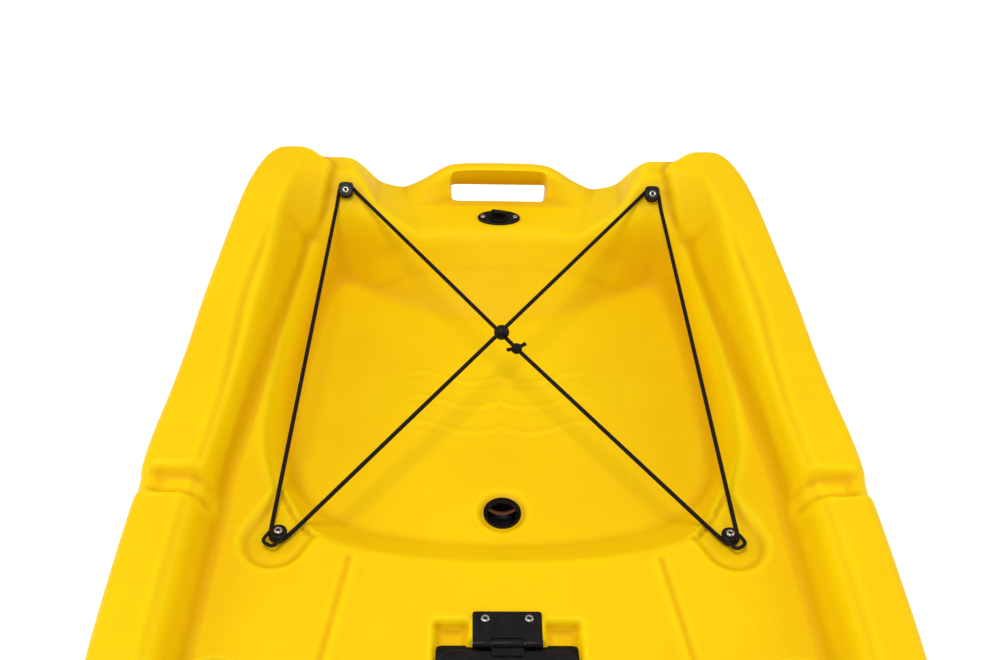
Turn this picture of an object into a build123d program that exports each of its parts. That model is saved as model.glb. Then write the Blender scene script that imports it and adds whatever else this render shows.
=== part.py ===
from build123d import *
import os
from math import cos, hypot, pi, radians, sin, tan

os.makedirs("parts", exist_ok=True)

# Sit-on-top kayak, rotomoulded polyethylene.  Millimetres, +X to the bow, +Y to port, +Z up.
# The origin is under the middle of the hull, on the surface that it rests on.
# "s" is a distance forward of the stern, "share" a distance as a share of the hull's length.

# ---------------------------------------------------------------- driving dimensions
HULL_LENGTH = 2680.0
HULL_BEAM = 780.0
DECK_HEIGHT = 215.0
WALL = 4.0                     # moulded wall
SLIDE_FIT = 0.08               # radial clearance of a pin or plug that turns in a hole
LOOSE_FIT = 0.4                # gap round a part that drops into its seat

# half beam at each share of the length, as a share of HULL_BEAM / 2
BEAM_LINE = [(0, 0.69), (0.004, 0.74), (0.012, 0.775), (0.03, 0.808), (0.08, 0.857), (0.15, 0.906),
             (0.22, 0.954), (0.30, 0.988), (0.42, 1.0), (0.55, 0.99), (0.68, 0.93), (0.79, 0.80),
             (0.88, 0.62), (0.945, 0.44), (0.985, 0.29), (1, 0.16)]
# height of the flat bottom over the ground
KEEL_LINE = [(0, 90), (0.03, 55), (0.08, 28), (0.15, 10), (0.22, 0), (0.68, 0), (0.79, 8),
             (0.88, 28), (0.945, 70), (0.985, 130), (1, 175)]
# rise of the deck over DECK_HEIGHT, and of the side rails over the deck
DECK_LINE = [(0, 0), (0.68, 0), (0.79, 14), (0.88, 45), (0.945, 78), (0.985, 98), (1, 104)]
RAIL_LINE = [(0, 75), (0.03, 75), (0.08, 70), (0.15, 63), (0.22, 60), (0.68, 60), (0.79, 52),
             (0.88, 36), (0.945, 22), (0.985, 14), (1, 10)]
# widths across a rail: its flat top, and its slope down to the deck
RAIL_TOP_LINE = [(0, 30), (0.08, 24), (0.15, 30), (0.22, 38), (0.68, 38), (0.79, 34), (0.88, 26),
                 (0.945, 20), (0.985, 14), (1, 8)]
RAIL_SLOPE_LINE = [(0, 46), (0.08, 48), (0.15, 40), (0.22, 30), (0.68, 30), (0.79, 28), (0.88, 22),
                   (0.945, 15), (0.985, 10), (1, 6)]
RAIL_EDGE = 12.0               # rounding between a rail's outside and its top

# stern deck, with the grab handle moulded in
REAR_DECK_END = 96.0
REAR_DECK_RISE = 10.0
HANDLE_HALF_WIDTH = 132.0
HANDLE_RISE = 38.0
HANDLE_SLOT_LENGTH = 122.0
SHOULDER_RISE = 55.0
SHOULDER_TOP = 35.0            # length of a shoulder's level top
SHOULDER_SIDE = 46.0           # width of its slope down to the rear deck
SHOULDER_FACE = 34.0           # slope of the face that carries a rear hook, degrees

# tank well, as (s, share of the half width between the rails) at the deck and at the floor
WELL_DEPTH = 62.0
WELL_RIM = [(96, 0.26), (86, 0.56), (72, 0.84), (150, 0.975), (330, 0.985), (450, 0.94),
            (531, 0.82), (569, 0.695), (598, 0.28)]
WELL_FLOOR = [(172, 0.21), (150, 0.46), (104, 0.78), (165, 0.875), (330, 0.895), (440, 0.86),
              (488, 0.75), (520, 0.61), (530, 0.26)]
WELL_CORNER = 14.0

# lashing hooks and their cord
HOOK_FRONT_S = 565.0
HOOK_FRONT_INSET = 56.0        # from the foot of the rail
HOOK_REAR_S = 58.0
HOOK_REAR_INSET = 28.0
HOOK_POST = 6.2
HOOK_BASE = 2.0
HOOK_HEAD = 3.0
HOOK_TONGUE = 17.0
HOOK_WIDTH = 16.0
HOOK_SLOT = (9.5, 3.6)         # slot through the head, for a clip
HOOK_SLOT_X = 10.6
HOOK_RECESS = 6.0
HOOK_RECESS_RADIUS = 32.0
CORD = 4.5
CORD_GAP = 0.25
NOTCH_S = 545.0                # cross groove in each rail
BEAD = 18.0
KNOT = 13.0
# middle of the cord from the knot, round the four hooks and back to the knot, with each bend's radius
CORD_ROUTE = [(-1035.5, 14.0, 229.3), (-1274.7, -176.9, 255.0), (-1287.8, -191.7, 263.8),
              (-1284.9, -202.3, 261.8), (-1267.1, -204.6, 249.9), (-791.5, -241.1, 213.5),
              (-769.2, -242.4, 213.5), (-764.6, -230.6, 213.5), (-781.8, -216.5, 213.5),
              (-1274.7, 176.9, 255.0), (-1287.8, 191.7, 263.8), (-1284.9, 202.3, 261.8),
              (-1267.1, 204.6, 249.9), (-791.5, 241.1, 213.5), (-769.2, 242.4, 213.5),
              (-764.6, 230.6, 213.5), (-781.8, 216.5, 213.5), (-1027.7, 20.2, 228.6)]
CORD_BENDS = [18, 8.2, 8.2, 18, 40, 8.2, 8.2, 40, 18, 8.2, 8.2, 18, 40, 8.2, 8.2, 40]
BEAD_PLACE = (-1053.1, 0.0, 233.75)
KNOT_PLACE = (-1031.7, 17.1, 228.8)

# machine screws and the brass inserts that they go into
SCREW_SHANK = 2.5
SCREW_LENGTH = 14.0
SCREW_HEAD = 4.9
SCREW_HEAD_HEIGHT = 2.8
INSERT_RADIUS = 4.2
INSERT_LENGTH = 13.0

# scuppers
SCUPPER = 17.0                 # bore radius
SCUPPER_SINK = 4.0             # depth of the seat that the plug's flange lies in
PLUG_FLANGE = 21.0
PLUG_FLANGE_HEIGHT = 3.0
PLUG_DEPTH = 26.0
PLUG_WALL = 2.5

# drain
DRAIN_S = 71.0
DRAIN_LENGTH = 54.0
DRAIN_WIDTH = 27.0
DRAIN_FLANGE = 3.0
DRAIN_THREAD = 9.0
DRAIN_BARREL = 11.5
DRAIN_SCREW_OFFSET = 20.5

# hatch behind the seat
HATCH_S = 702.0                # rear edge of the lid
HATCH_LENGTH = 180.0
HATCH_WIDTH = 134.0
HATCH_RECESS = 14.0
HATCH_MARGIN = 20.0            # recess round the lid
HATCH_OPENING_INSET = 17.0     # from the lid's edge to the opening
LID_HEIGHT = 7.0
GASKET = 3.0
RIM_FLANGE = 3.0
TUB_DEPTH = 105.0
TUB_WALL = 2.0
HINGE_WIDTH = 68.0
HINGE_LENGTH = 36.0
HINGE_PLATE = 3.5
HINGE_PIN = 2.0
KNUCKLE = 4.5
HINGE_SCREW_SPREAD = 43.0
HINGE_BACK = 5.0               # from the lid's rear edge back to the pin
LATCH = 13.0                   # radius of the latch's knob
LATCH_INSET = 33.0             # from the lid's front edge
COLLAR = 2.5
COLLAR_DEPTH = 24.0            # rim's collar, down through the deck

# seat, foot wells and console
COCKPIT_S = (905.0, 1990.0)
COCKPIT_DEPTH = 42.0
SEAT_S = (930.0, 1290.0)
SEAT_HALF_WIDTH = 205.0
SEAT_DEPTH = 105.0
FOOT_S = (1345.0, 1955.0)
FOOT_DEPTH = 128.0
CONSOLE_HALF_WIDTH = 48.0

# swing handles on the sides
SIDE_HANDLE_S = 1400.0
SIDE_HANDLE_LENGTH = 190.0
SIDE_POCKET_DEPTH = 30.0
SIDE_POCKET_HEIGHT = 100.0
GRIP_RADIUS = 10.0
BAIL_RADIUS = 4.0
BAIL_DROP = 52.0
BRACKET = 20.0                 # height of a bracket's lug
LUG_LENGTH = 12.0
SIDE_SCREW = 17.0              # from a bracket's middle to each of its screws
PIVOT_STAND = 13.0             # pivot's height over the floor of its recess

# pad eyes that a seat clips to
SEAT_EYE_S = (742.0, 1500.0)
SEAT_EYE_INSET = (22.0, 10.0)
EYE_BASE = 3.0
EYE_ARCH = 9.0                 # radius of the loop
EYE_ROD = 2.4
EYE_SINK = 4.0
EYE_LENGTH = 52.0
EYE_WIDTH = 16.0
EYE_SPREAD = 38.0
EYE_RADIUS = 26.0


# ---------------------------------------------------------------- lines of the hull
def at(s):
    """X of a distance forward of the stern."""
    return s - HULL_LENGTH / 2


def along(line, x):
    """Value of a line at X, straight between its points."""
    share = x / HULL_LENGTH + 0.5
    for (a, low), (b, high) in zip(line, line[1:]):
        if share <= b:
            return low + (high - low) * max(share - a, 0) / (b - a)
    return line[-1][1]


def half_beam(x):
    return along(BEAM_LINE, x) * HULL_BEAM / 2


def deck_z(x):
    return DECK_HEIGHT + along(DECK_LINE, x)


def rail_z(x):
    return deck_z(x) + along(RAIL_LINE, x)


def rail_foot(x):
    """Half the deck's width between the feet of the two rails."""
    return half_beam(x) - RAIL_EDGE - along(RAIL_TOP_LINE, x) - along(RAIL_SLOPE_LINE, x)


def half_section(x):
    """Points of half a cross-section, from the middle of the bottom to the middle of the deck."""
    b = half_beam(x)
    keel = along(KEEL_LINE, x)
    top = rail_z(x)
    crest = b - RAIL_EDGE
    inner = crest - along(RAIL_TOP_LINE, x)
    under = [(0, keel), (0.52 * b, keel), (0.78 * b, keel + 16), (0.93 * b, keel + 75), (b, top - 22)]
    return under + [(crest, top), (inner, top), (rail_foot(x), deck_z(x)), (0, deck_z(x))]


def closed_section(x, inset=0.0):
    """Both halves of a section, every side moved in by the inset."""
    half = half_section(x)
    points = half + [(-y, z) for y, z in reversed(half[1:-1])]
    count = len(points)
    moved = []
    for i in range(count):
        (x0, y0), (x1, y1), (x2, y2) = points[i - 1], points[i], points[(i + 1) % count]
        a = hypot(x1 - x0, y1 - y0)
        b = hypot(x2 - x1, y2 - y1)
        n1 = ((y0 - y1) / a, (x1 - x0) / a)
        n2 = ((y1 - y2) / b, (x2 - x1) / b)
        k = inset / (1 + n1[0] * n2[0] + n1[1] * n2[1])
        moved.append((x1 + k * (n1[0] + n2[0]), y1 + k * (n1[1] + n2[1])))
    return moved


def across(x):
    """Plane across the hull at X, its own x to port and its own y up."""
    return Plane(origin=(x, 0, 0), x_dir=(0, 1, 0), z_dir=(1, 0, 0))


def hull_loft(places, inset=0.0):
    with BuildPart() as body:
        for x in places:
            with BuildSketch(across(x)):
                with BuildLine():
                    Polyline(*closed_section(x, inset), close=True)
                make_face()
        loft(ruled=True)
    return body.part


def shifted(plane, dx, dy):
    """The same plane with its origin moved within it."""
    return Plane(origin=plane.from_local_coords((dx, dy, 0)), x_dir=plane.x_dir, z_dir=plane.z_dir)


def port_and_starboard(shape):
    return [shape, shape.mirror(Plane.XZ)]


def mirrored_outline(half):
    return half + [(x, -y) for x, y in reversed(half)]


def tapered_pocket(rim, rim_z, floor, floor_z, corner, grow, above=90.0):
    """Pocket with a rim outline and a floor outline of the same number of corners."""
    with BuildPart() as pocket:
        with BuildSketch(Plane.XY.offset(floor_z - grow)):
            with BuildLine():
                Polyline(*floor, close=True)
            make_face()
            fillet(vertices(), corner)
            offset(amount=grow + 0.01)
        with BuildSketch(Plane.XY.offset(rim_z)) as mouth:
            with BuildLine():
                Polyline(*rim, close=True)
            make_face()
            fillet(vertices(), corner)
            offset(amount=grow + 0.01)
        loft(ruled=True)
        extrude(mouth.sketch, amount=above)
    return pocket.part


# ---------------------------------------------------------------- pockets in the deck
def tank_well(grow=0.0):
    rim = [(at(s), share * rail_foot(at(s))) for s, share in WELL_RIM]
    floor = [(at(s), share * rail_foot(at(s))) for s, share in WELL_FLOOR]
    return tapered_pocket(mirrored_outline(rim), DECK_HEIGHT, mirrored_outline(floor),
                          DECK_HEIGHT - WELL_DEPTH, WELL_CORNER, grow)


def cockpit(grow=0.0):
    """Shallow tray between the rails, from behind the seat to the foot wells."""
    rear, front = at(COCKPIT_S[0]), at(COCKPIT_S[1])
    rim = [(rear, 0.62 * rail_foot(rear)), (rear + 90, 0.92 * rail_foot(rear + 90)),
           (front - 120, 0.90 * rail_foot(front - 120)), (front, 0.60 * rail_foot(front))]
    floor = [(rear + 24, 0.58 * rail_foot(rear)), (rear + 100, 0.86 * rail_foot(rear + 90)),
             (front - 130, 0.84 * rail_foot(front - 120)), (front - 24, 0.56 * rail_foot(front))]
    return tapered_pocket(mirrored_outline(rim), DECK_HEIGHT, mirrored_outline(floor),
                          DECK_HEIGHT - COCKPIT_DEPTH, 30.0, grow)


def seat_half_width():
    return min(SEAT_HALF_WIDTH, 0.8 * rail_foot(at(SEAT_S[0])))


def seat_pan(grow=0.0):
    rear, front = at(SEAT_S[0]), at(SEAT_S[1])
    wide = seat_half_width()
    rim = [(rear, 0.80 * wide), (rear + 110, wide), (front - 60, 0.97 * wide), (front, 0.72 * wide)]
    floor = [(rear + 46, 0.68 * wide), (rear + 120, 0.86 * wide), (front - 90, 0.84 * wide),
             (front - 60, 0.62 * wide)]
    return tapered_pocket(mirrored_outline(rim), DECK_HEIGHT - COCKPIT_DEPTH, mirrored_outline(floor),
                          DECK_HEIGHT - SEAT_DEPTH, 30.0, grow)


def foot_well(grow=0.0):
    """Port foot well; its outer side follows the rail."""
    rear, front = at(FOOT_S[0]), at(FOOT_S[1])
    near = CONSOLE_HALF_WIDTH
    wide_rear, wide_front = 0.80 * rail_foot(rear), 0.80 * rail_foot(front)
    rim = [(rear, near), (front, near), (front, wide_front), (rear, wide_rear)]
    floor = [(rear + 90, near + 16), (front - 24, near + 16), (front - 24, wide_front - 18),
             (rear + 90, wide_rear - 24)]
    return tapered_pocket(rim, DECK_HEIGHT - COCKPIT_DEPTH, floor, DECK_HEIGHT - FOOT_DEPTH, 20.0, grow)


def rail_notch(grow=0.0):
    """Cross groove in the port rail, for a strap or a paddle's shaft."""
    x = at(NOTCH_S)
    outer = half_beam(x) + 20
    inner = half_beam(x) - RAIL_EDGE - along(RAIL_TOP_LINE, x) - 12
    with BuildPart() as notch:
        with BuildSketch(Plane.XY.offset(rail_z(x) - 17 - grow)):
            with Locations((x, (outer + inner) / 2)):
                Rectangle(22 + 2 * grow, outer - inner + 2 * grow)
        with BuildSketch(Plane.XY.offset(rail_z(x) + 0.5)):
            with Locations((x, (outer + inner) / 2)):
                Rectangle(38 + 2 * grow, outer - inner + 8 + 2 * grow)
        loft(ruled=True)
    return notch.part


def hook_recess(grow=0.0):
    """Channel of a front hook, open to the tank well."""
    plane = hook_planes()["front_port"]
    with BuildPart() as recess:
        with BuildSketch(plane.offset(-grow)):
            with Locations((4, 0)):
                Circle(HOOK_RECESS_RADIUS + grow)
            with Locations((4, 0)):
                Rectangle(64, 2 * (HOOK_RECESS_RADIUS + grow), align=(Align.MAX, Align.CENTER))
        extrude(amount=HOOK_RECESS + grow + 2)
    return recess.part


def side_pocket(grow=0.0):
    """Recess in the port side, where the swing handle hangs."""
    x = at(SIDE_HANDLE_S)
    face = half_beam(x) - SIDE_POCKET_DEPTH
    top = rail_z(x) - 18
    with BuildPart() as pocket:
        with BuildSketch(Plane.XZ.offset(-face + grow)):
            with Locations((x, top - SIDE_POCKET_HEIGHT / 2)):
                RectangleRounded(SIDE_HANDLE_LENGTH + 50 + 2 * grow, SIDE_POCKET_HEIGHT + 2 * grow, 14)
        extrude(amount=-80)
    return pocket.part


def handle_slot(x_end, toward, z, grow=0.0):
    """Hand slot of an end handle: down through the deck and out under the bar.

    x_end is the end of the hull and toward is +1 where the hull lies on the +X side of it."""
    half = HANDLE_SLOT_LENGTH / 2 + grow
    g = grow
    profile = [(20 - g, z + 60), (46 + g, z + 60), (46 + g, z + 4 - g), (14, z - 30 - g),
               (-30, z - 34 - g), (-30, z + 2 + g), (8, z + 2 + g), (20 - g, z + 14)]
    with BuildPart() as slot:
        with BuildSketch(Plane.XZ.offset(-half)):
            with BuildLine():
                Polyline(*[(x_end + toward * px, pz) for px, pz in profile], close=True)
            make_face()
        extrude(amount=2 * half)
        fillet(slot.edges().filter_by(Axis.Z), 9.0)
    return slot.part


def hatch_recess(grow=0.0):
    rear, front = at(HATCH_S) - 11, at(HATCH_S + HATCH_LENGTH) + HATCH_MARGIN
    half = HATCH_WIDTH / 2 + HATCH_MARGIN
    ear = (at(HATCH_S) - 31, HINGE_WIDTH / 2 + 4, half - 16)
    with BuildPart() as recess:
        with BuildSketch(Plane.XY.offset(DECK_HEIGHT - HATCH_RECESS - grow)):
            with Locations(((rear + front) / 2, 0)):
                RectangleRounded(front - rear - 16 + 2 * grow, 2 * half - 16 + 2 * grow, 8)
        with BuildSketch(Plane.XY.offset(DECK_HEIGHT + 1)):
            with Locations(((rear + front) / 2, 0)):
                RectangleRounded(front - rear + 2 * grow, 2 * half + 2 * grow, 10)
        loft(ruled=True)
        with BuildSketch(Plane.XY.offset(DECK_HEIGHT - HATCH_RECESS - grow)):
            for side in (1, -1):
                with Locations((ear[0] - grow, side * (ear[1] + ear[2]) / 2)):
                    Rectangle(60, ear[2] - ear[1] + 2 * grow, align=(Align.MIN, Align.CENTER))
        extrude(amount=HATCH_RECESS + grow + 1)
    return recess.part


def hatch_opening_size():
    return HATCH_LENGTH - 2 * HATCH_OPENING_INSET, HATCH_WIDTH - 2 * HATCH_OPENING_INSET


def hatch_centre():
    return at(HATCH_S + HATCH_LENGTH / 2)


def scupper_places():
    """Name to the middle of each scupper's mouth."""
    seat_x = at(SEAT_S[1] - 130)
    foot_x = at(FOOT_S[1] - 90)
    foot_y = (CONSOLE_HALF_WIDTH + 0.80 * rail_foot(foot_x)) / 2
    seat_y = 0.45 * seat_half_width()
    places = {"tank_well": (at(487), 0, DECK_HEIGHT - WELL_DEPTH)}
    for name, side in (("port", 1), ("starboard", -1)):
        places["seat_" + name] = (seat_x, side * seat_y, DECK_HEIGHT - SEAT_DEPTH)
        places["foot_" + name] = (foot_x, side * foot_y, DECK_HEIGHT - FOOT_DEPTH)
    return places


# ---------------------------------------------------------------- where the fittings sit
def shoulder_face_z(s):
    """Height of the rear hooks' sloping face at a distance from the stern."""
    return DECK_HEIGHT + SHOULDER_RISE - (s - SHOULDER_TOP) * tan(radians(SHOULDER_FACE))


def hook_planes():
    """Plane of each lashing hook: z out of the hull, x along the tongue."""
    planes = {}
    slope = radians(SHOULDER_FACE)
    for name, side in (("port", 1), ("starboard", -1)):
        x = at(HOOK_FRONT_S)
        y = side * (rail_foot(x) - HOOK_FRONT_INSET)
        planes["front_" + name] = Plane(origin=(x, y, DECK_HEIGHT - HOOK_RECESS),
                                        x_dir=(0.88, side * 0.475, 0), z_dir=(0, 0, 1))
        x = at(HOOK_REAR_S)
        y = side * (rail_foot(x) - HOOK_REAR_INSET)
        planes["rear_" + name] = Plane(origin=(x, y, shoulder_face_z(HOOK_REAR_S)),
                                       x_dir=(-cos(slope), 0, sin(slope)),
                                       z_dir=(sin(slope), 0, cos(slope)))
    return planes


def seat_eye_planes():
    planes = {}
    for place, s, inset, sink in (("aft", SEAT_EYE_S[0], SEAT_EYE_INSET[0], EYE_SINK),
                                  ("fore", SEAT_EYE_S[1], SEAT_EYE_INSET[1], 0)):
        for name, side in (("port", 1), ("starboard", -1)):
            x = at(s)
            y = side * (rail_foot(x) - inset)
            planes[place + "_" + name] = Plane(origin=(x, y, DECK_HEIGHT - sink))
    return planes


def bracket_planes():
    """Plane of each side-handle bracket: z out of the pocket's floor, x to the bow."""
    x = at(SIDE_HANDLE_S)
    z = rail_z(x) - 18 - SIDE_SCREW - 10
    face = half_beam(x) - SIDE_POCKET_DEPTH
    planes = {}
    for name, side in (("port", 1), ("starboard", -1)):
        for end, sign in (("fore", 1), ("aft", -1)):
            planes[name + "_" + end] = Plane(origin=(x + sign * SIDE_HANDLE_LENGTH / 2, side * face, z),
                                             x_dir=(1, 0, 0), z_dir=(0, side, 0))
    return planes


def screw_at(plane, seat_height):
    """Pan-head machine screw, its head on a part that is seat_height thick."""
    with BuildPart() as screw:
        with BuildSketch(plane.offset(seat_height - SCREW_LENGTH)):
            Circle(SCREW_SHANK)
        extrude(amount=SCREW_LENGTH)
        with BuildSketch(plane.offset(seat_height)):
            Circle(SCREW_HEAD)
        extrude(amount=SCREW_HEAD_HEIGHT)
    return screw.part


def side_screw_planes():
    """Two screws for each side-handle bracket, above and below its lug."""
    return [shifted(plane, 0, dz) for plane in bracket_planes().values()
            for dz in (-SIDE_SCREW, SIDE_SCREW)]


def eye_screw_planes():
    return [shifted(plane, dx, 0) for plane in seat_eye_planes().values()
            for dx in (-EYE_SPREAD / 2, EYE_SPREAD / 2)]


def hinge_x():
    """X of the lid's pin, just behind the lid."""
    return at(HATCH_S) - HINGE_BACK


def hinge_screw_planes():
    plane = Plane.XY.offset(DECK_HEIGHT)
    x = hinge_x() - HINGE_LENGTH + 9
    return [shifted(plane, x, dy) for dy in (-HINGE_SCREW_SPREAD / 2, HINGE_SCREW_SPREAD / 2)]


def eye_recess(grow=0.0):
    plane = seat_eye_planes()["aft_port"]
    with BuildPart() as recess:
        with BuildSketch(plane.offset(-grow)):
            Circle(EYE_RADIUS + 2 + grow)
        extrude(amount=EYE_SINK + grow + 1)
        with BuildSketch(plane.offset(EYE_SINK)):
            Circle(EYE_RADIUS + 2 + grow)
        extrude(amount=20)
    return recess.part


def hull_pockets(grow=0.0):
    """Every pocket of the moulding, each grown by the same amount."""
    cuts = [tank_well(grow), cockpit(grow), seat_pan(grow), hatch_recess(grow)]
    for pocket in (foot_well, rail_notch, hook_recess, side_pocket, eye_recess):
        cuts += port_and_starboard(pocket(grow))
    bow = HULL_LENGTH / 2
    cuts.append(handle_slot(-bow, 1, DECK_HEIGHT, grow))
    cuts.append(handle_slot(bow, -1, deck_z(bow - 30) - 34, grow))
    return cuts


def scupper_tube(place, grow=0.0):
    x, y, z = place
    with BuildPart() as tube:
        with BuildSketch(Plane.XY.offset(-1)):
            with Locations((x, y)):
                Circle(SCUPPER + grow)
        extrude(amount=z + 2)
        with BuildSketch(Plane.XY.offset(z - SCUPPER_SINK - grow)):
            with Locations((x, y)):
                Circle(PLUG_FLANGE + LOOSE_FIT + grow)
        extrude(amount=SCUPPER_SINK + grow + 1)
    return tube.part


def bore(plane, radius, depth, above=6.0):
    """Round cutter down from a plane."""
    with BuildPart() as cutter:
        with BuildSketch(plane.offset(-depth)):
            Circle(radius)
        extrude(amount=depth + above)
    return cutter.part


def deck_piece(side_view, end_view, reach):
    """Solid with a side view, as (s, rise over the deck), and an end view, as (y, rise)."""
    with BuildPart() as piece:
        with BuildSketch(Plane.XZ.offset(-reach)):
            with BuildLine():
                Polyline(*[(at(s), DECK_HEIGHT + z) for s, z in side_view], close=True)
            make_face()
        extrude(amount=2 * reach)
        with BuildSketch(across(at(0) - 1)):
            with BuildLine():
                Polyline(*[(y, DECK_HEIGHT + z) for y, z in end_view], close=True)
            make_face()
        extrude(amount=REAR_DECK_END + 2, mode=Mode.INTERSECT)
    return piece.part


def rear_deck():
    """Raised deck behind the tank well, with the handle's hump and the hooks' shoulders."""
    inner = rail_foot(at(REAR_DECK_END)) - 4
    root = -6                  # each piece starts this far down in the deck
    bar, bar_top, slope_end = 8, 20, 46
    edge, rounded = 4, 78
    handle = deck_piece([(0, root), (0, HANDLE_RISE - 8), (bar, HANDLE_RISE), (bar_top, HANDLE_RISE),
                         (slope_end, REAR_DECK_RISE), (slope_end, root)],
                        [(-HANDLE_HALF_WIDTH, root), (-HANDLE_HALF_WIDTH, edge), (-rounded, HANDLE_RISE),
                         (rounded, HANDLE_RISE), (HANDLE_HALF_WIDTH, edge), (HANDLE_HALF_WIDTH, root)],
                        inner)
    foot = 0.65 * inner
    shoulder = deck_piece([(0, root), (0, SHOULDER_RISE), (SHOULDER_TOP, SHOULDER_RISE),
                           (REAR_DECK_END, shoulder_face_z(REAR_DECK_END) - DECK_HEIGHT),
                           (REAR_DECK_END, root)],
                          [(foot, root), (foot, REAR_DECK_RISE), (foot + SHOULDER_SIDE, SHOULDER_RISE),
                           (inner + 40, SHOULDER_RISE), (inner + 40, root)],
                          inner + 60)
    with BuildPart() as shelf:
        with BuildSketch(Plane.XY.offset(DECK_HEIGHT + root)):
            with Locations((at(0), 0)):
                Rectangle(REAR_DECK_END, 2 * inner, align=(Align.MIN, Align.CENTER))
        extrude(amount=REAR_DECK_RISE - root)
    return [handle, shelf.part] + port_and_starboard(shoulder)


# ---------------------------------------------------------------- hull
stations = [share * HULL_LENGTH - HULL_LENGTH / 2 for share, _ in BEAM_LINE]

with BuildPart() as hull_void:
    add(hull_loft([at(14)] + stations[3:-2] + [stations[-2] - 10], WALL))
    for pocket in hull_pockets(WALL):
        add(pocket, mode=Mode.SUBTRACT)
    for place in scupper_places().values():
        add(scupper_tube(place, WALL), mode=Mode.SUBTRACT)

with BuildPart() as hull_shell:
    add(hull_loft(stations))
    for piece in rear_deck():
        add(piece)
    for pocket in hull_pockets():
        add(pocket, mode=Mode.SUBTRACT)
    add(hull_void.part, mode=Mode.SUBTRACT)
    for place in scupper_places().values():
        add(scupper_tube(place), mode=Mode.SUBTRACT)
    with BuildSketch(Plane.XY.offset(DECK_HEIGHT - HATCH_RECESS - 2 * WALL)):
        with Locations((hatch_centre(), 0)):
            RectangleRounded(*hatch_opening_size(), 10)
    extrude(amount=HATCH_RECESS + 2 * WALL, mode=Mode.SUBTRACT)
    drain_plane = Plane(origin=(at(DRAIN_S), 0, DECK_HEIGHT + REAR_DECK_RISE))
    add(bore(drain_plane, DRAIN_BARREL + LOOSE_FIT, 40), mode=Mode.SUBTRACT)
    for plane in list(hook_planes().values()) + eye_screw_planes() + side_screw_planes():
        add(bore(plane, INSERT_RADIUS, INSERT_LENGTH, 1), mode=Mode.SUBTRACT)
    for plane in hinge_screw_planes():
        add(bore(plane, INSERT_RADIUS, INSERT_LENGTH, 1), mode=Mode.SUBTRACT)
    for dx in (-DRAIN_SCREW_OFFSET, DRAIN_SCREW_OFFSET):
        add(bore(shifted(drain_plane, 0, dx), SCREW_SHANK * 0.7, SCREW_LENGTH, 1), mode=Mode.SUBTRACT)

hull_shell.part.label = "hull_shell"
export_step(hull_shell.part, "parts/hull_shell.step")


# ---------------------------------------------------------------- foam inside the hull
foam_aft_x = (at(250), at(430))
foam_fore_x = (at(FOOT_S[0]) + 60, at(FOOT_S[1]) - 60)
foam_aft_low = along(KEEL_LINE, foam_aft_x[0]) + WALL + LOOSE_FIT
foam_fore_low = along(KEEL_LINE, foam_fore_x[1]) + WALL + LOOSE_FIT

with BuildPart() as foam_pillar_aft:
    with BuildSketch(Plane.XY.offset(foam_aft_low)):
        with Locations(((foam_aft_x[0] + foam_aft_x[1]) / 2, 0)):
            RectangleRounded(foam_aft_x[1] - foam_aft_x[0], 120, 8)
    extrude(amount=DECK_HEIGHT - WELL_DEPTH - WALL - LOOSE_FIT - foam_aft_low)
foam_pillar_aft.part.label = "foam_pillar_aft"
export_step(foam_pillar_aft.part, "parts/foam_pillar_aft.step")

with BuildPart() as foam_pillar_fore:
    with BuildSketch(Plane.XY.offset(foam_fore_low)):
        with Locations(((foam_fore_x[0] + foam_fore_x[1]) / 2, 0)):
            RectangleRounded(foam_fore_x[1] - foam_fore_x[0], 2 * (CONSOLE_HALF_WIDTH - WALL) - 6, 8)
    extrude(amount=DECK_HEIGHT - COCKPIT_DEPTH - WALL - LOOSE_FIT - foam_fore_low)
foam_pillar_fore.part.label = "foam_pillar_fore"
export_step(foam_pillar_fore.part, "parts/foam_pillar_fore.step")


# ---------------------------------------------------------------- lashing hooks
def hook_outline():
    """Round end about the screw, square tongue along +X."""
    Circle(HOOK_WIDTH / 2)
    Rectangle(HOOK_TONGUE, HOOK_WIDTH, align=(Align.MIN, Align.CENTER))


cord_level = HOOK_BASE + CORD_GAP + CORD / 2
hook_head_level = HOOK_BASE + CORD + 2 * CORD_GAP
hook_height = hook_head_level + HOOK_HEAD

for name, plane in hook_planes().items():
    with BuildPart() as hook:
        with BuildSketch(plane):
            hook_outline()
        extrude(amount=HOOK_BASE)
        with BuildSketch(plane.offset(HOOK_BASE)):
            Circle(HOOK_POST)
        extrude(amount=hook_head_level - HOOK_BASE)
        with BuildSketch(plane.offset(hook_head_level)):
            hook_outline()
            fillet(vertices().sort_by_distance(plane.from_local_coords((99, 0, 0)))[:2], 3)
            with Locations((HOOK_SLOT_X, 0)):
                SlotOverall(HOOK_SLOT[0], HOOK_SLOT[1], rotation=90, mode=Mode.SUBTRACT)
        extrude(amount=HOOK_HEAD)
        with BuildSketch(plane):
            Circle(SCREW_SHANK + LOOSE_FIT / 2)
        extrude(amount=hook_height, mode=Mode.SUBTRACT)
    hook.part.label = "lashing_hook_" + name
    export_step(hook.part, "parts/lashing_hook_" + name + ".step")

with BuildPart() as hook_screws:
    for plane in hook_planes().values():
        add(screw_at(plane, hook_height))
hook_screws.part.label = "lashing_hook_screws"
export_step(hook_screws.part, "parts/lashing_hook_screws.step")


# ---------------------------------------------------------------- bungee cord, bead and knot
def toward(a, b):
    """Direction from point a to point b."""
    return Vector(*b) - Vector(*a)


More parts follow.
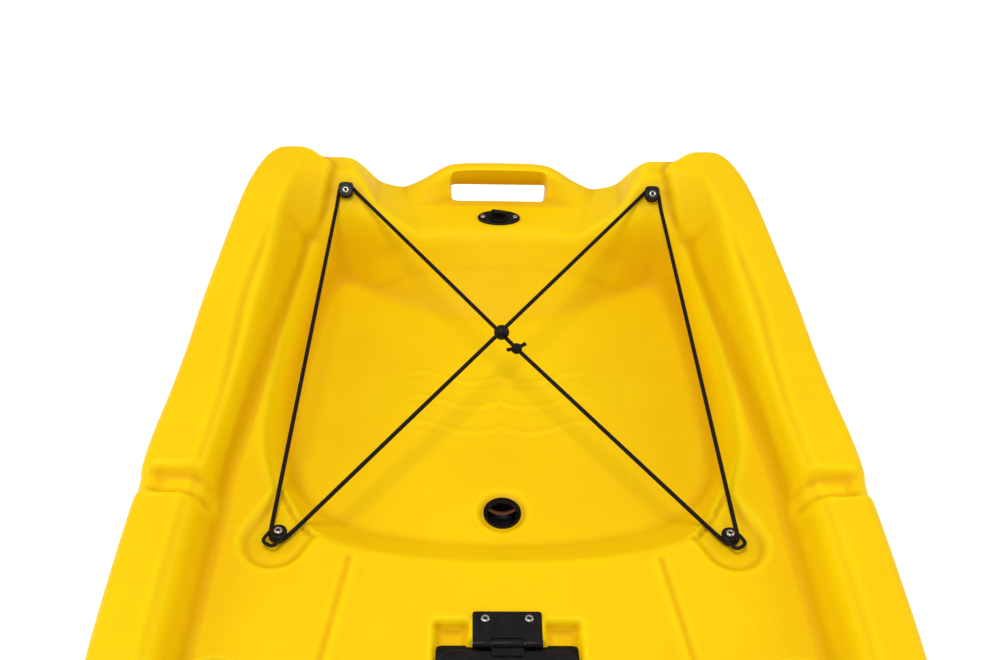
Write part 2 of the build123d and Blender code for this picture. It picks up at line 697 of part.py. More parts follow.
with BuildPart() as bungee_cord:
    with BuildLine() as cord_line:
        FilletPolyline(*CORD_ROUTE, radius=CORD_BENDS)
    with BuildSketch(Plane(origin=CORD_ROUTE[0], z_dir=toward(CORD_ROUTE[0], CORD_ROUTE[1]))):
        Circle(CORD / 2)
    sweep()
cord_length = sum(edge.length for edge in cord_line.edges())
cord_section = pi * CORD ** 2 / 4
print("cord", round(cord_length, 1), "mm, volume over section x length",
      round(bungee_cord.part.volume / (cord_section * cord_length), 5), "bends", CORD_BENDS)
bungee_cord.part.label = "bungee_cord"
export_step(bungee_cord.part, "parts/bungee_cord.step")

with BuildPart() as bungee_bead:
    with Locations(BEAD_PLACE):
        Sphere(BEAD / 2)
    for a, b, dz in ((8, 9, 2.6), (0, 1, -2.6)):
        direction = toward(CORD_ROUTE[a], CORD_ROUTE[b])
        middle = Plane(origin=(BEAD_PLACE[0], BEAD_PLACE[1], BEAD_PLACE[2] + dz), z_dir=direction)
        with BuildSketch(middle.offset(-BEAD)):
            Circle(CORD / 2 + 0.15)
        extrude(amount=2 * BEAD, mode=Mode.SUBTRACT)
bungee_bead.part.label = "bungee_bead"
export_step(bungee_bead.part, "parts/bungee_bead.step")

with BuildPart() as bungee_knot:
    with Locations(KNOT_PLACE):
        Sphere(KNOT / 2)
    for end in ((-0.3, 1, 0.5), (0.5, -1, 0.3)):
        with BuildSketch(Plane(origin=KNOT_PLACE, z_dir=end)):
            Circle(CORD / 2)
        extrude(amount=KNOT / 2 + 6)
bungee_knot.part.label = "bungee_knot"
export_step(bungee_knot.part, "parts/bungee_knot.step")


# ---------------------------------------------------------------- threaded inserts
def insert_at(plane):
    """Brass insert moulded in flush with the surface, open at both ends."""
    with BuildPart() as insert:
        with BuildSketch(plane.offset(-INSERT_LENGTH)):
            Circle(INSERT_RADIUS - 0.02)
            Circle(SCREW_SHANK + 0.03, mode=Mode.SUBTRACT)
        extrude(amount=INSERT_LENGTH - 0.1)
    return insert.part


for name, planes in (("lashing_hook_inserts", list(hook_planes().values())),
                     ("seat_eye_inserts", eye_screw_planes()),
                     ("side_bracket_inserts", side_screw_planes()),
                     ("hinge_inserts", hinge_screw_planes())):
    with BuildPart() as inserts:
        for plane in planes:
            add(insert_at(plane))
    inserts.part.label = name
    export_step(inserts.part, "parts/" + name + ".step")


# ---------------------------------------------------------------- seat pad eyes
for name, plane in seat_eye_planes().items():
    with BuildPart() as eye:
        with BuildSketch(plane):
            SlotOverall(EYE_LENGTH, EYE_WIDTH)
        extrude(amount=EYE_BASE)
        with BuildSketch(Plane(origin=plane.from_local_coords((EYE_ARCH, 0, EYE_BASE - 0.5)),
                               x_dir=(1, 0, 0), z_dir=(0, 0, 1))):
            Circle(EYE_ROD)
        revolve(axis=Axis(plane.from_local_coords((0, 0, EYE_BASE - 0.5)), (0, 1, 0)),
                revolution_arc=-180)
        for dx in (-EYE_SPREAD / 2, EYE_SPREAD / 2):
            with BuildSketch(shifted(plane, dx, 0)):
                Circle(SCREW_SHANK + LOOSE_FIT / 2)
            extrude(amount=EYE_BASE, mode=Mode.SUBTRACT)
    eye.part.label = "seat_eye_" + name
    export_step(eye.part, "parts/seat_eye_" + name + ".step")

with BuildPart() as eye_screws:
    for plane in eye_screw_planes():
        add(screw_at(plane, EYE_BASE))
eye_screws.part.label = "seat_eye_screws"
export_step(eye_screws.part, "parts/seat_eye_screws.step")


# ---------------------------------------------------------------- drain
drain_top = drain_plane.offset(DRAIN_FLANGE)

with BuildPart() as drain_flange:
    with BuildSketch(drain_plane):
        Ellipse(DRAIN_WIDTH / 2, DRAIN_LENGTH / 2)
    extrude(amount=DRAIN_FLANGE)
    fillet(drain_flange.edges().filter_by(GeomType.ELLIPSE).group_by(Axis.Z)[-1], 1.0)
    with BuildSketch(drain_plane.offset(-22)):
        Circle(DRAIN_BARREL)
    extrude(amount=22)
    with BuildSketch(drain_plane.offset(-22)):
        Circle(DRAIN_THREAD + SLIDE_FIT)
    extrude(amount=22 + DRAIN_FLANGE, mode=Mode.SUBTRACT)
    with BuildSketch(drain_top):
        Circle(DRAIN_BARREL + 0.3)
    extrude(amount=-2.0, mode=Mode.SUBTRACT)
    for dy in (-DRAIN_SCREW_OFFSET, DRAIN_SCREW_OFFSET):
        with BuildSketch(shifted(drain_plane, 0, dy)):
            Circle(1.9)
        extrude(amount=DRAIN_FLANGE, mode=Mode.SUBTRACT)
drain_flange.part.label = "drain_flange"
export_step(drain_flange.part, "parts/drain_flange.step")

with BuildPart() as drain_gasket:
    with BuildSketch(drain_top.offset(-1.6)):
        Circle(DRAIN_BARREL - 0.1)
        Circle(DRAIN_THREAD + SLIDE_FIT, mode=Mode.SUBTRACT)
    extrude(amount=1.6)
drain_gasket.part.label = "drain_gasket"
export_step(drain_gasket.part, "parts/drain_gasket.step")

with BuildPart() as drain_plug:
    with BuildSketch(drain_plane.offset(-18)):
        Circle(DRAIN_THREAD)
    extrude(amount=18 + DRAIN_FLANGE + 0.05)
    with BuildSketch(drain_top.offset(0.05)):
        Circle(DRAIN_BARREL)
    extrude(amount=2.4)
    fillet(drain_plug.edges().group_by(Axis.Z)[-1], 0.8)
    with BuildSketch(drain_top.offset(2.0)):
        SlotOverall(20, 5, rotation=80)
    extrude(amount=8)
    fillet(drain_plug.edges().group_by(Axis.Z)[-1], 1.0)
drain_plug.part.label = "drain_plug"
export_step(drain_plug.part, "parts/drain_plug.step")

with BuildPart() as drain_screws:
    for dy in (-DRAIN_SCREW_OFFSET, DRAIN_SCREW_OFFSET):
        spot = shifted(drain_top, 0, dy)
        with BuildSketch(spot.offset(-13)):
            Circle(1.7)
        extrude(amount=13)
        with BuildSketch(spot):
            Circle(3.2)
        extrude(amount=1.8)
drain_screws.part.label = "drain_screws"
export_step(drain_screws.part, "parts/drain_screws.step")


# ---------------------------------------------------------------- scupper plugs
for name, (x, y, z) in scupper_places().items():
    seat = Plane(origin=(x, y, z - SCUPPER_SINK + LOOSE_FIT))
    plug_radius = SCUPPER - LOOSE_FIT
    with BuildPart() as plug:
        with BuildSketch(seat):
            Circle(PLUG_FLANGE)
        extrude(amount=PLUG_FLANGE_HEIGHT)
        fillet(plug.edges().group_by(Axis.Z)[-1], 1.2)
        with BuildSketch(seat):
            Circle(plug_radius)
        extrude(amount=-PLUG_DEPTH, taper=3)
        with BuildSketch(seat.offset(PLUG_FLANGE_HEIGHT)):
            Circle(plug_radius - PLUG_WALL)
        extrude(amount=-PLUG_DEPTH - PLUG_FLANGE_HEIGHT + 3, taper=3, mode=Mode.SUBTRACT)
        with BuildSketch(seat.offset(-4)):
            with Locations((-4, 0)):
                Rectangle(6, 2 * plug_radius - PLUG_WALL)
        extrude(amount=3.5)
    plug.part.label = "scupper_plug_" + name
    export_step(plug.part, "parts/scupper_plug_" + name + ".step")


# ---------------------------------------------------------------- hatch
recess_floor = DECK_HEIGHT - HATCH_RECESS
rim_top = recess_floor + RIM_FLANGE
lid_low = rim_top + 0.5
opening_length, opening_width = hatch_opening_size()
collar_length = opening_length - LOOSE_FIT
collar_width = opening_width - LOOSE_FIT
lid_x = hatch_centre()
lid_front = at(HATCH_S + HATCH_LENGTH)


def frame_sketch(plane, length, width, radius, inner_length=0, inner_width=0, inner_radius=0):
    """Rounded rectangle about the lid's middle, with a rounded opening if one is given."""
    with BuildSketch(plane) as outline:
        with Locations((lid_x, 0)):
            RectangleRounded(length, width, radius)
            if inner_length:
                RectangleRounded(inner_length, inner_width, inner_radius, mode=Mode.SUBTRACT)
    return outline.sketch


with BuildPart() as hatch_rim:
    extrude(frame_sketch(Plane.XY.offset(recess_floor), HATCH_LENGTH - 4, HATCH_WIDTH - 4, 12,
                 collar_length - 2 * COLLAR, collar_width - 2 * COLLAR, 7),
            amount=RIM_FLANGE)
    extrude(frame_sketch(Plane.XY.offset(rim_top - COLLAR_DEPTH), collar_length, collar_width, 9.5,
                 collar_length - 2 * COLLAR, collar_width - 2 * COLLAR, 7),
            amount=COLLAR_DEPTH - 1)
hatch_rim.part.label = "hatch_rim"
export_step(hatch_rim.part, "parts/hatch_rim.step")

with BuildPart() as hatch_tub:
    tub_length = collar_length + 2 * (LOOSE_FIT + TUB_WALL)
    tub_width = collar_width + 2 * (LOOSE_FIT + TUB_WALL)
    tub_top = recess_floor - WALL - LOOSE_FIT
    extrude(frame_sketch(Plane.XY.offset(tub_top - TUB_DEPTH), tub_length, tub_width, 12),
            amount=TUB_DEPTH)
    extrude(frame_sketch(Plane.XY.offset(tub_top - TUB_DEPTH + TUB_WALL), tub_length - 2 * TUB_WALL,
                 tub_width - 2 * TUB_WALL, 10),
            amount=TUB_DEPTH, mode=Mode.SUBTRACT)
hatch_tub.part.label = "hatch_tub"
export_step(hatch_tub.part, "parts/hatch_tub.step")

gasket_low = rim_top + 0.35
plate_low = DECK_HEIGHT - LID_HEIGHT
with BuildPart() as hatch_gasket:
    extrude(frame_sketch(Plane.XY.offset(gasket_low), HATCH_LENGTH - 14, HATCH_WIDTH - 14, 9,
                 HATCH_LENGTH - 14 - 2 * GASKET, HATCH_WIDTH - 14 - 2 * GASKET, 6),
            amount=plate_low - gasket_low)
hatch_gasket.part.label = "hatch_gasket"
export_step(hatch_gasket.part, "parts/hatch_gasket.step")

latch_x = lid_front - LATCH_INSET
pin_z = DECK_HEIGHT + 2.0
knuckle_half = HINGE_WIDTH / 2 - 18

with BuildPart() as hatch_lid:
    extrude(frame_sketch(Plane.XY.offset(lid_low), HATCH_LENGTH, HATCH_WIDTH, 14),
            amount=DECK_HEIGHT - lid_low)
    fillet(hatch_lid.edges().group_by(Axis.Z)[-1], 2.0)
    extrude(frame_sketch(Plane.XY.offset(lid_low), HATCH_LENGTH - 7, HATCH_WIDTH - 7, 11),
            amount=plate_low - lid_low, mode=Mode.SUBTRACT)
    extrude(frame_sketch(Plane.XY.offset(plate_low), HATCH_LENGTH - 50, HATCH_WIDTH - 50, 8),
            amount=LID_HEIGHT - 3, mode=Mode.SUBTRACT)
    with BuildSketch(Plane.XY.offset(plate_low)):
        with Locations((latch_x, 0)):
            Circle(9)
    extrude(amount=LID_HEIGHT)
    with BuildSketch(Plane.XZ.offset(-knuckle_half + LOOSE_FIT)):
        with Locations((hinge_x(), pin_z)):
            Circle(KNUCKLE)
        with Locations((hinge_x(), DECK_HEIGHT - 2.5)):
            Rectangle(HINGE_BACK + 8, 2.4 + KNUCKLE / 2, align=(Align.MIN, Align.MIN))
    extrude(amount=2 * (knuckle_half - LOOSE_FIT))
    with BuildSketch(Plane.XZ.offset(-HINGE_WIDTH / 2)):
        with Locations((hinge_x(), pin_z)):
            Circle(HINGE_PIN + SLIDE_FIT)
    extrude(amount=HINGE_WIDTH, mode=Mode.SUBTRACT)
    with BuildSketch(Plane.XY.offset(plate_low - 1)):
        with Locations((latch_x, 0)):
            Circle(4 + SLIDE_FIT)
    extrude(amount=LID_HEIGHT + 4, mode=Mode.SUBTRACT)
hatch_lid.part.label = "hatch_lid"
export_step(hatch_lid.part, "parts/hatch_lid.step")

with BuildPart() as hatch_latch:
    with BuildSketch(Plane.XY.offset(DECK_HEIGHT + 0.35)):
        with Locations((latch_x, 0)):
            Circle(LATCH)
    extrude(amount=3)
    fillet(hatch_latch.edges().group_by(Axis.Z)[-1], 1.0)
    with BuildSketch(Plane.XY.offset(DECK_HEIGHT + 3)):
        with Locations((latch_x, 0)):
            SlotOverall(24, 6, rotation=90)
    extrude(amount=8)
    fillet(hatch_latch.edges().group_by(Axis.Z)[-1], 1.2)
    cam_top = rim_top - COLLAR_DEPTH - 0.5
    with BuildSketch(Plane.XY.offset(cam_top - 3)):
        with Locations((latch_x, 0)):
            Circle(4)
    extrude(amount=DECK_HEIGHT + 1 - cam_top + 3)
    with BuildSketch(Plane.XY.offset(cam_top - 3)):
        with Locations((latch_x, 0)):
            Rectangle(12, 2 * LATCH_INSET, align=(Align.CENTER, Align.MIN))
            Circle(LATCH_INSET - HATCH_OPENING_INSET - LOOSE_FIT, mode=Mode.INTERSECT)
            Circle(6)
    extrude(amount=3)
hatch_latch.part.label = "hatch_latch"
export_step(hatch_latch.part, "parts/hatch_latch.step")

with BuildPart() as hinge_plate:
    with BuildSketch(Plane.XY.offset(DECK_HEIGHT)):
        with Locations((hinge_x(), 0)):
            Rectangle(HINGE_LENGTH, HINGE_WIDTH, align=(Align.MAX, Align.CENTER))
    extrude(amount=HINGE_PLATE)
    fillet(hinge_plate.edges().filter_by(Axis.Z).group_by(Axis.X)[0], 3)
    with BuildSketch(Plane.XZ.offset(-HINGE_WIDTH / 2)):
        with Locations((hinge_x(), pin_z)):
            Circle(KNUCKLE)
    extrude(amount=HINGE_WIDTH)
    with BuildSketch(Plane.XY.offset(DECK_HEIGHT - 5)):
        with Locations((hinge_x() - KNUCKLE - 1, 0)):
            Rectangle(20, 2 * knuckle_half, align=(Align.MIN, Align.CENTER))
    extrude(amount=20, mode=Mode.SUBTRACT)
    with BuildSketch(Plane.XZ.offset(-HINGE_WIDTH / 2)):
        with Locations((hinge_x(), pin_z)):
            Circle(HINGE_PIN + SLIDE_FIT)
    extrude(amount=HINGE_WIDTH, mode=Mode.SUBTRACT)
    for plane in hinge_screw_planes():
        with BuildSketch(plane):
            Circle(SCREW_SHANK + LOOSE_FIT / 2)
        extrude(amount=HINGE_PLATE, mode=Mode.SUBTRACT)
hinge_plate.part.label = "hinge_plate"
export_step(hinge_plate.part, "parts/hinge_plate.step")

with BuildPart() as hinge_pin:
    with BuildSketch(Plane.XZ.offset(-HINGE_WIDTH / 2 - 0.5)):
        with Locations((hinge_x(), pin_z)):
            Circle(HINGE_PIN)
    extrude(amount=HINGE_WIDTH + 1)
hinge_pin.part.label = "hinge_pin"
export_step(hinge_pin.part, "parts/hinge_pin.step")

with BuildPart() as hinge_screws:
    for plane in hinge_screw_planes():
        add(screw_at(plane, HINGE_PLATE))
hinge_screws.part.label = "hinge_screws"
export_step(hinge_screws.part, "parts/hinge_screws.step")


# ---------------------------------------------------------------- side handles
bail_half = SIDE_HANDLE_LENGTH / 2 - LUG_LENGTH / 2 - BAIL_RADIUS - 2

for name, plane in bracket_planes().items():
    with BuildPart() as bracket:
        with BuildSketch(plane):
            RectangleRounded(LUG_LENGTH + 6, 2 * SIDE_SCREW + 14, 5)
        extrude(amount=3)
        with BuildSketch(plane):
            Rectangle(LUG_LENGTH, BRACKET)
        extrude(amount=PIVOT_STAND)
        end = Plane(origin=plane.from_local_coords((-LUG_LENGTH / 2, 0, PIVOT_STAND)),
                    x_dir=plane.z_dir, z_dir=(1, 0, 0))
        with BuildSketch(end):
            Circle(BRACKET / 2)
        extrude(amount=LUG_LENGTH)
        with BuildSketch(end):
            Circle(BAIL_RADIUS + SLIDE_FIT)
        extrude(amount=LUG_LENGTH, mode=Mode.SUBTRACT)
        for dy in (-SIDE_SCREW, SIDE_SCREW):
            with BuildSketch(shifted(plane, 0, dy)):
                Circle(SCREW_SHANK + LOOSE_FIT / 2)
            extrude(amount=3, mode=Mode.SUBTRACT)
    bracket.part.label = "side_bracket_" + name
    export_step(bracket.part, "parts/side_bracket_" + name + ".step")

with BuildPart() as side_screws:
    for plane in side_screw_planes():
        add(screw_at(plane, 3))
side_screws.part.label = "side_bracket_screws"
export_step(side_screws.part, "parts/side_bracket_screws.step")

for name, side in (("port", 1), ("starboard", -1)):
    pivot = bracket_planes()[name + "_fore"]
    y = pivot.origin.Y + side * PIVOT_STAND
    z = pivot.origin.Z
    x = at(SIDE_HANDLE_S)
    reach = bail_half + BAIL_RADIUS + 2 + LUG_LENGTH
    with BuildPart() as bail:
        with BuildLine():
            FilletPolyline((x - reach, y, z), (x - bail_half, y, z), (x - bail_half, y, z - BAIL_DROP),
                           (x + bail_half, y, z - BAIL_DROP), (x + bail_half, y, z), (x + reach, y, z),
                           radius=[5.9, 14, 14, 5.9])
        with BuildSketch(Plane(origin=(x - reach, y, z), x_dir=(0, 1, 0), z_dir=(1, 0, 0))):
            Circle(BAIL_RADIUS)
        sweep()
    bail.part.label = "side_bail_" + name
    export_step(bail.part, "parts/side_bail_" + name + ".step")

    with BuildPart() as grip:
        with BuildSketch(Plane(origin=(x - 52, y, z - BAIL_DROP), x_dir=(0, 1, 0), z_dir=(1, 0, 0))):
            Circle(GRIP_RADIUS)
            Circle(BAIL_RADIUS + 0.02, mode=Mode.SUBTRACT)
        extrude(amount=104)
        fillet(grip.edges().filter_by(GeomType.CIRCLE).sort_by(SortBy.RADIUS)[-2:], 2)
    grip.part.label = "side_grip_" + name
    export_step(grip.part, "parts/side_grip_" + name + ".step")
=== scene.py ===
# %% [markdown]
# # A sit-on-top kayak with a lashed stern well
#
# The real boat is one skin of polyethylene, cast by turning a hot steel mould. Everything else
# on it is small: hooks, a drain, a hatch, plugs and handles. This lesson puts the looks round a
# measured model, which is loaded first. Lengths are in millimetres, and become metres only
# when a mesh is made. A distance called s runs forward from the stern.

# %% Loading the measured model
import bpy
import numpy as np
from mathutils import Matrix, Vector


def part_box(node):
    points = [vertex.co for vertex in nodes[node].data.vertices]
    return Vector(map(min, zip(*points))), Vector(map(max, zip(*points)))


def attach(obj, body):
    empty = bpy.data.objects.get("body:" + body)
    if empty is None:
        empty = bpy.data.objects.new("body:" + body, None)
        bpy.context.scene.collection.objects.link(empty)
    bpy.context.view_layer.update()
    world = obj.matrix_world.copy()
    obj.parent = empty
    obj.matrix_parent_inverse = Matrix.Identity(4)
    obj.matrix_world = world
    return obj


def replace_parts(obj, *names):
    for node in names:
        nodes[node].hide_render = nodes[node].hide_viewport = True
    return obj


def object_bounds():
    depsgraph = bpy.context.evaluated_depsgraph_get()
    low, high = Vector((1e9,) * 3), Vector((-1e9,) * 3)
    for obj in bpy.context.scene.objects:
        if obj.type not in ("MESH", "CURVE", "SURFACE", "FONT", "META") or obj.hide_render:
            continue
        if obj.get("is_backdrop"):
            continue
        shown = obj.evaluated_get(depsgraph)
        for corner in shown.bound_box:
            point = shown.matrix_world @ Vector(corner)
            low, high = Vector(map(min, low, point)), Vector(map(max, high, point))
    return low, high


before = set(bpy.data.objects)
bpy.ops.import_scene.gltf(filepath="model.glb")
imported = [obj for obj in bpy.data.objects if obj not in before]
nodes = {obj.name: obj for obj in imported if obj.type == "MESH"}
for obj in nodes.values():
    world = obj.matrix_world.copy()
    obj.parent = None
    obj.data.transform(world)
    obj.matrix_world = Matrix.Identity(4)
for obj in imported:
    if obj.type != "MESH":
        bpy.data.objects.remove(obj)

cad_low, cad_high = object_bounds()
print("nodes", len(nodes), "model box", [round(v, 3) for v in (*cad_low, *cad_high)])

# %% [markdown]
# ## The camera
#
# A person who stands in front of the well and looks back at the stern sees the boat like this:
# from about 1.4 m up, looking down at 45 degrees, with a 50 mm lens. A camera is aimed by three
# directions that stand square to each other. They are worked out from two angles and a slight
# lean, then set as the columns of its turn.

# %% The camera
MM = 0.001
CAMERA_PLACE = (97.1, -52.0, 1373.6)
TURN, DOWN, LEAN = 2.488, 44.617, 2.349   # degrees


def camera_axes(turn, down, lean):
    """Right, up and back directions of a camera that looks aft and down, then leans."""
    turn, down, lean = np.radians([turn, down, lean])
    ahead = np.array([-np.cos(down) * np.cos(turn), np.cos(down) * np.sin(turn), -np.sin(down)])
    right = np.cross(ahead, (0, 0, 1))
    right /= np.linalg.norm(right)
    up = np.cross(right, ahead)
    return (np.cos(lean) * right + np.sin(lean) * up, np.cos(lean) * up - np.sin(lean) * right,
            -ahead)


camera = bpy.data.objects.new("camera", bpy.data.cameras.new("camera"))
bpy.context.collection.objects.link(camera)
camera.data.lens = 50
camera.data.sensor_width = 36
turned = Matrix([list(axis) for axis in camera_axes(TURN, DOWN, LEAN)]).transposed()
camera.matrix_world = Matrix.Translation(Vector(CAMERA_PLACE) * MM) @ turned.to_4x4()
bpy.context.scene.camera = camera
bpy.context.scene.view_settings.view_transform = "Standard"
print("camera at", [round(v, 3) for v in camera.location])

# %% [markdown]
# ## Putting arrays into meshes
#
# Every new piece is a grid of points, worked out as whole arrays. One function turns a grid
# into faces, and one puts points and faces into a mesh with smooth shading.

# %% Mesh helpers
def grid_faces(rows, columns, around=False, first=0):
    """Four-sided faces of a grid of points stored row by row. around joins the last column
    to the first."""
    i, j = np.meshgrid(np.arange(rows - 1), np.arange(columns if around else columns - 1),
                       indexing="ij")
    k = (j + 1) % columns
    faces = np.stack([i * columns + j, i * columns + k, (i + 1) * columns + k,
                      (i + 1) * columns + j], axis=-1)
    return faces.reshape(-1, 4) + first


def add_piece(name, points, faces, body="hull"):
    """New smooth object from points in mm and faces, riding on a body."""
    mesh = bpy.data.meshes.new(name)
    mesh.from_pydata((np.asarray(points).reshape(-1, 3) * MM).tolist(), [],
                     [list(map(int, face)) for face in faces])
    mesh.polygons.foreach_set("use_smooth", np.full(len(mesh.polygons), True))
    mesh.validate()
    mesh.update()
    piece = bpy.data.objects.new(name, mesh)
    bpy.context.collection.objects.link(piece)
    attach(piece, body)
    print(name, len(mesh.vertices), "points", len(mesh.polygons), "faces")
    return piece


def ramp(value, start, end):
    """0 before start, 1 after end, straight between."""
    return np.clip((value - start) / (end - start), 0, 1)


def ease(share):
    """The same share with its two corners rounded, by 3t^2 - 2t^3."""
    share = np.clip(share, 0, 1)
    return share * share * (3 - 2 * share)


print("ease at a quarter", ease(0.25), "at a half", ease(0.5))


# %% [markdown]
# ## Materials
#
# Each material begins with what the real one is and how its surface was made. A helper adds
# one node with its settings and links, and another turns a hex colour, which is sRGB, into the
# linear light that a shader wants.

# %% Material helpers
def linear(code):
    """sRGB hex to linear red, green, blue, alpha."""
    part = np.array([int(code[i:i + 2], 16) for i in (1, 3, 5)]) / 255
    light = np.where(part <= 0.04045, part / 12.92, ((part + 0.055) / 1.055) ** 2.4)
    return (*light.tolist(), 1.0)


def put(tree, kind, settings=None, **values):
    """Adds a node. settings are its own properties, and values go to the sockets of that name,
    as numbers or as the output socket to link. A number at the end of a name picks a socket."""
    node = tree.nodes.new(kind)
    for key, value in (settings or {}).items():
        setattr(node, key, value)
    for key, value in values.items():
        spot = int(key[3:]) if key.startswith("at_") else key.replace("_", " ")
        if isinstance(value, bpy.types.NodeSocket):
            tree.links.new(value, node.inputs[spot])
        else:
            node.inputs[spot].default_value = value
    return node


def start_material(name, **values):
    """Material with one principled shader, its tree and that shader."""
    material = bpy.data.materials.new(name)
    material.use_nodes = True
    tree = material.node_tree
    shader = tree.nodes["Principled BSDF"]
    for key, value in values.items():
        shader.inputs[key.replace("_", " ")].default_value = value
    return material, tree, shader


def feed(tree, shader, **sockets):
    """Links output sockets to the shader's inputs of those names."""
    for key, socket in sockets.items():
        tree.links.new(socket, shader.inputs[key.replace("_", " ")])


def noise(tree, where, size_mm, detail=3.0, roughness=0.5):
    """Noise whose grains are about that many mm across."""
    return put(tree, "ShaderNodeTexNoise", Vector=where, Scale=1 / (size_mm * MM),
               Detail=detail, Roughness=roughness).outputs["Fac"]


def spread(tree, value, low, high, to_low, to_high):
    """Carries a value from one range to another, held at the ends."""
    return put(tree, "ShaderNodeMapRange", at_0=value, at_1=low, at_2=high, at_3=to_low,
               at_4=to_high).outputs["Result"]


def mixed(tree, share, low, high):
    """Colour between two colours or sockets by a share."""
    node = put(tree, "ShaderNodeMix", {"data_type": "RGBA"}, at_0=share, at_6=low, at_7=high)
    return node.outputs[2]


def bumped(tree, height, distance_mm, strength=1.0, under=None):
    """Normal that a height from 0 to 1 gives, for a relief of that many mm."""
    extra = {"Normal": under} if under is not None else {}
    return put(tree, "ShaderNodeBump", Height=height, Distance=distance_mm * MM,
               Strength=strength, **extra).outputs["Normal"]


print("middle grey in linear light", round(linear("#808080")[0], 3))


# %% [markdown]
# Polyethylene powder melts against a sand-blasted mould wall. That gives a waxy satin skin with
# a fine orange-peel grain, about 1 mm across, and very slight clouds of colour where the
# powder melted a little sooner. Scuffs from carrying make small matt streaks.

# %% Rotomoulded polyethylene
def rotomoulded_polyethylene():
    """Satin yellow skin: clouds, flow marks and speckle in the colour, grain and scuffs in the
    gloss. The grain is drawn at 1.6 mm, coarser than the real 1 mm, so that it shows."""
    material, tree, shader = start_material("rotomoulded_polyethylene", IOR=1.51,
                                            Specular_IOR_Level=0.09)
    where = put(tree, "ShaderNodeTexCoord").outputs["Object"]
    clouds = noise(tree, where, 140, 2)
    flow = noise(tree, where, 22, 4)
    colour = mixed(tree, spread(tree, clouds, 0.35, 0.68, 0, 1), linear("#EFC300"),
                   linear("#F2CA00"))
    colour = mixed(tree, spread(tree, flow, 0.5, 0.8, 0, 0.35), colour, linear("#ECBB00"))
    speckle = noise(tree, where, 2.4, 3, 0.7)
    colour = mixed(tree, spread(tree, speckle, 0.3, 0.7, 0, 0.3), colour, linear("#E6B400"))
    # painted shade: darker yellow where the surface is concave, and painted highlight: paler yellow
    # on crests, from the curvature number stored with the mesh
    crease_shading_share = put(tree, "ShaderNodeAttribute", {"attribute_name": "crease_shading"}).outputs["Fac"]
    colour = mixed(tree, spread(tree, crease_shading_share, 0.05, 1, 0, 0.6), colour, linear("#D9A000"))
    colour = mixed(tree, spread(tree, crease_shading_share, -1, -0.05, 0.45, 0), colour, linear("#FBDD00"))
    grain = noise(tree, where, 1.6, 2, 0.6)
    streaks = put(tree, "ShaderNodeMapping", Vector=where, Scale=(0.16, 1, 1)).outputs["Vector"]
    scuffs = noise(tree, streaks, 7, 5, 0.65)
    rough = put(tree, "ShaderNodeMath", {"operation": "ADD"},
                at_0=spread(tree, grain, 0.3, 0.7, 0.44, 0.54),
                at_1=spread(tree, scuffs, 0.6, 0.75, 0, 0.10)).outputs[0]
    peel = bumped(tree, grain, 0.10, 0.55)
    waves = bumped(tree, noise(tree, where, 45, 1), 0.35, 0.5, peel)
    feed(tree, shader, Base_Color=colour, Roughness=rough, Normal=waves)
    return material


yellow_skin = rotomoulded_polyethylene()
print("hull skin of", len(yellow_skin.node_tree.nodes), "nodes")


# %% [markdown]
# The fittings are moulded in nylon filled with glass, which is nearly black with a warm tint
# and has a fine spark texture from the mould. Rubber is smoother and a little glossier. Screws
# and rods are stainless steel, and the inserts are brass.

# %% Materials of the fittings
def moulded(name, colour, rough, grain_mm, relief_mm):
    """Moulded plastic or rubber: an even dark colour, a fine grain, and handling marks that
    change its gloss."""
    material, tree, shader = start_material(name, IOR=1.5, Specular_IOR_Level=0.2)
    where = put(tree, "ShaderNodeTexCoord").outputs["Object"]
    marks = noise(tree, where, 9, 4, 0.6)
    pale = [min(1, 1.6 * part + 0.002) for part in linear(colour)[:3]] + [1]
    tone = mixed(tree, spread(tree, marks, 0.45, 0.75, 0, 1), linear(colour), pale)
    grain = noise(tree, where, grain_mm, 2, 0.6)
    feed(tree, shader, Base_Color=tone,
         Roughness=spread(tree, marks, 0.3, 0.7, rough - 0.07, rough + 0.07),
         Normal=bumped(tree, grain, relief_mm, 0.6))
    return material


def metal(name, colour, rough, stretch=(1, 1, 1)):
    """Turned or drawn metal: fine lines along the way it was worked."""
    material, tree, shader = start_material(name, Metallic=1.0)
    where = put(tree, "ShaderNodeTexCoord").outputs["Object"]
    lines = noise(tree, put(tree, "ShaderNodeMapping", Vector=where,
                            Scale=stretch).outputs["Vector"], 0.7, 3)
    tone = mixed(tree, spread(tree, lines, 0.3, 0.7, 0, 0.5), linear(colour), linear("#8E8D8A"))
    feed(tree, shader, Base_Color=tone,
         Roughness=spread(tree, lines, 0.3, 0.7, rough - 0.06, rough + 0.08),
         Normal=bumped(tree, lines, 0.02, 0.4))
    return material


black_nylon = moulded("glass_filled_nylon", "#080406", 0.42, 0.9, 0.05)
black_rubber = moulded("moulded_rubber", "#050303", 0.5, 1.4, 0.03)
seal_rubber = moulded("epdm_seal", "#141211", 0.62, 1.0, 0.04)
steel = metal("stainless_steel", "#B4B3B0", 0.24)
rod_steel = metal("drawn_stainless_rod", "#BDBCB9", 0.3, (0.08, 1, 1))
brass = metal("turned_brass", "#C39A4B", 0.3)
# the strap's brown colour is a painted reflection of the yellow skin on black rubber
strap_painted_reflection = moulded("strap_rubber_painted_reflection", "#4E2406", 0.4, 1.4, 0.03)
white_foam = moulded("closed_cell_foam", "#DAD9D2", 0.85, 3.0, 0.4)
print("materials so far", len(bpy.data.materials))


# %% [markdown]
# ## The lashing cord
#
# One length of 4.5 mm shock cord starts at a knot, runs round the four hooks and comes back to
# the knot through a bead where it crosses itself. It is a smooth curve that is pulled towards
# a few points: two close together at each turn round a hook, so the runs between stay straight.
# Its sheath is braided, so a tube with ridges is carried along that curve.

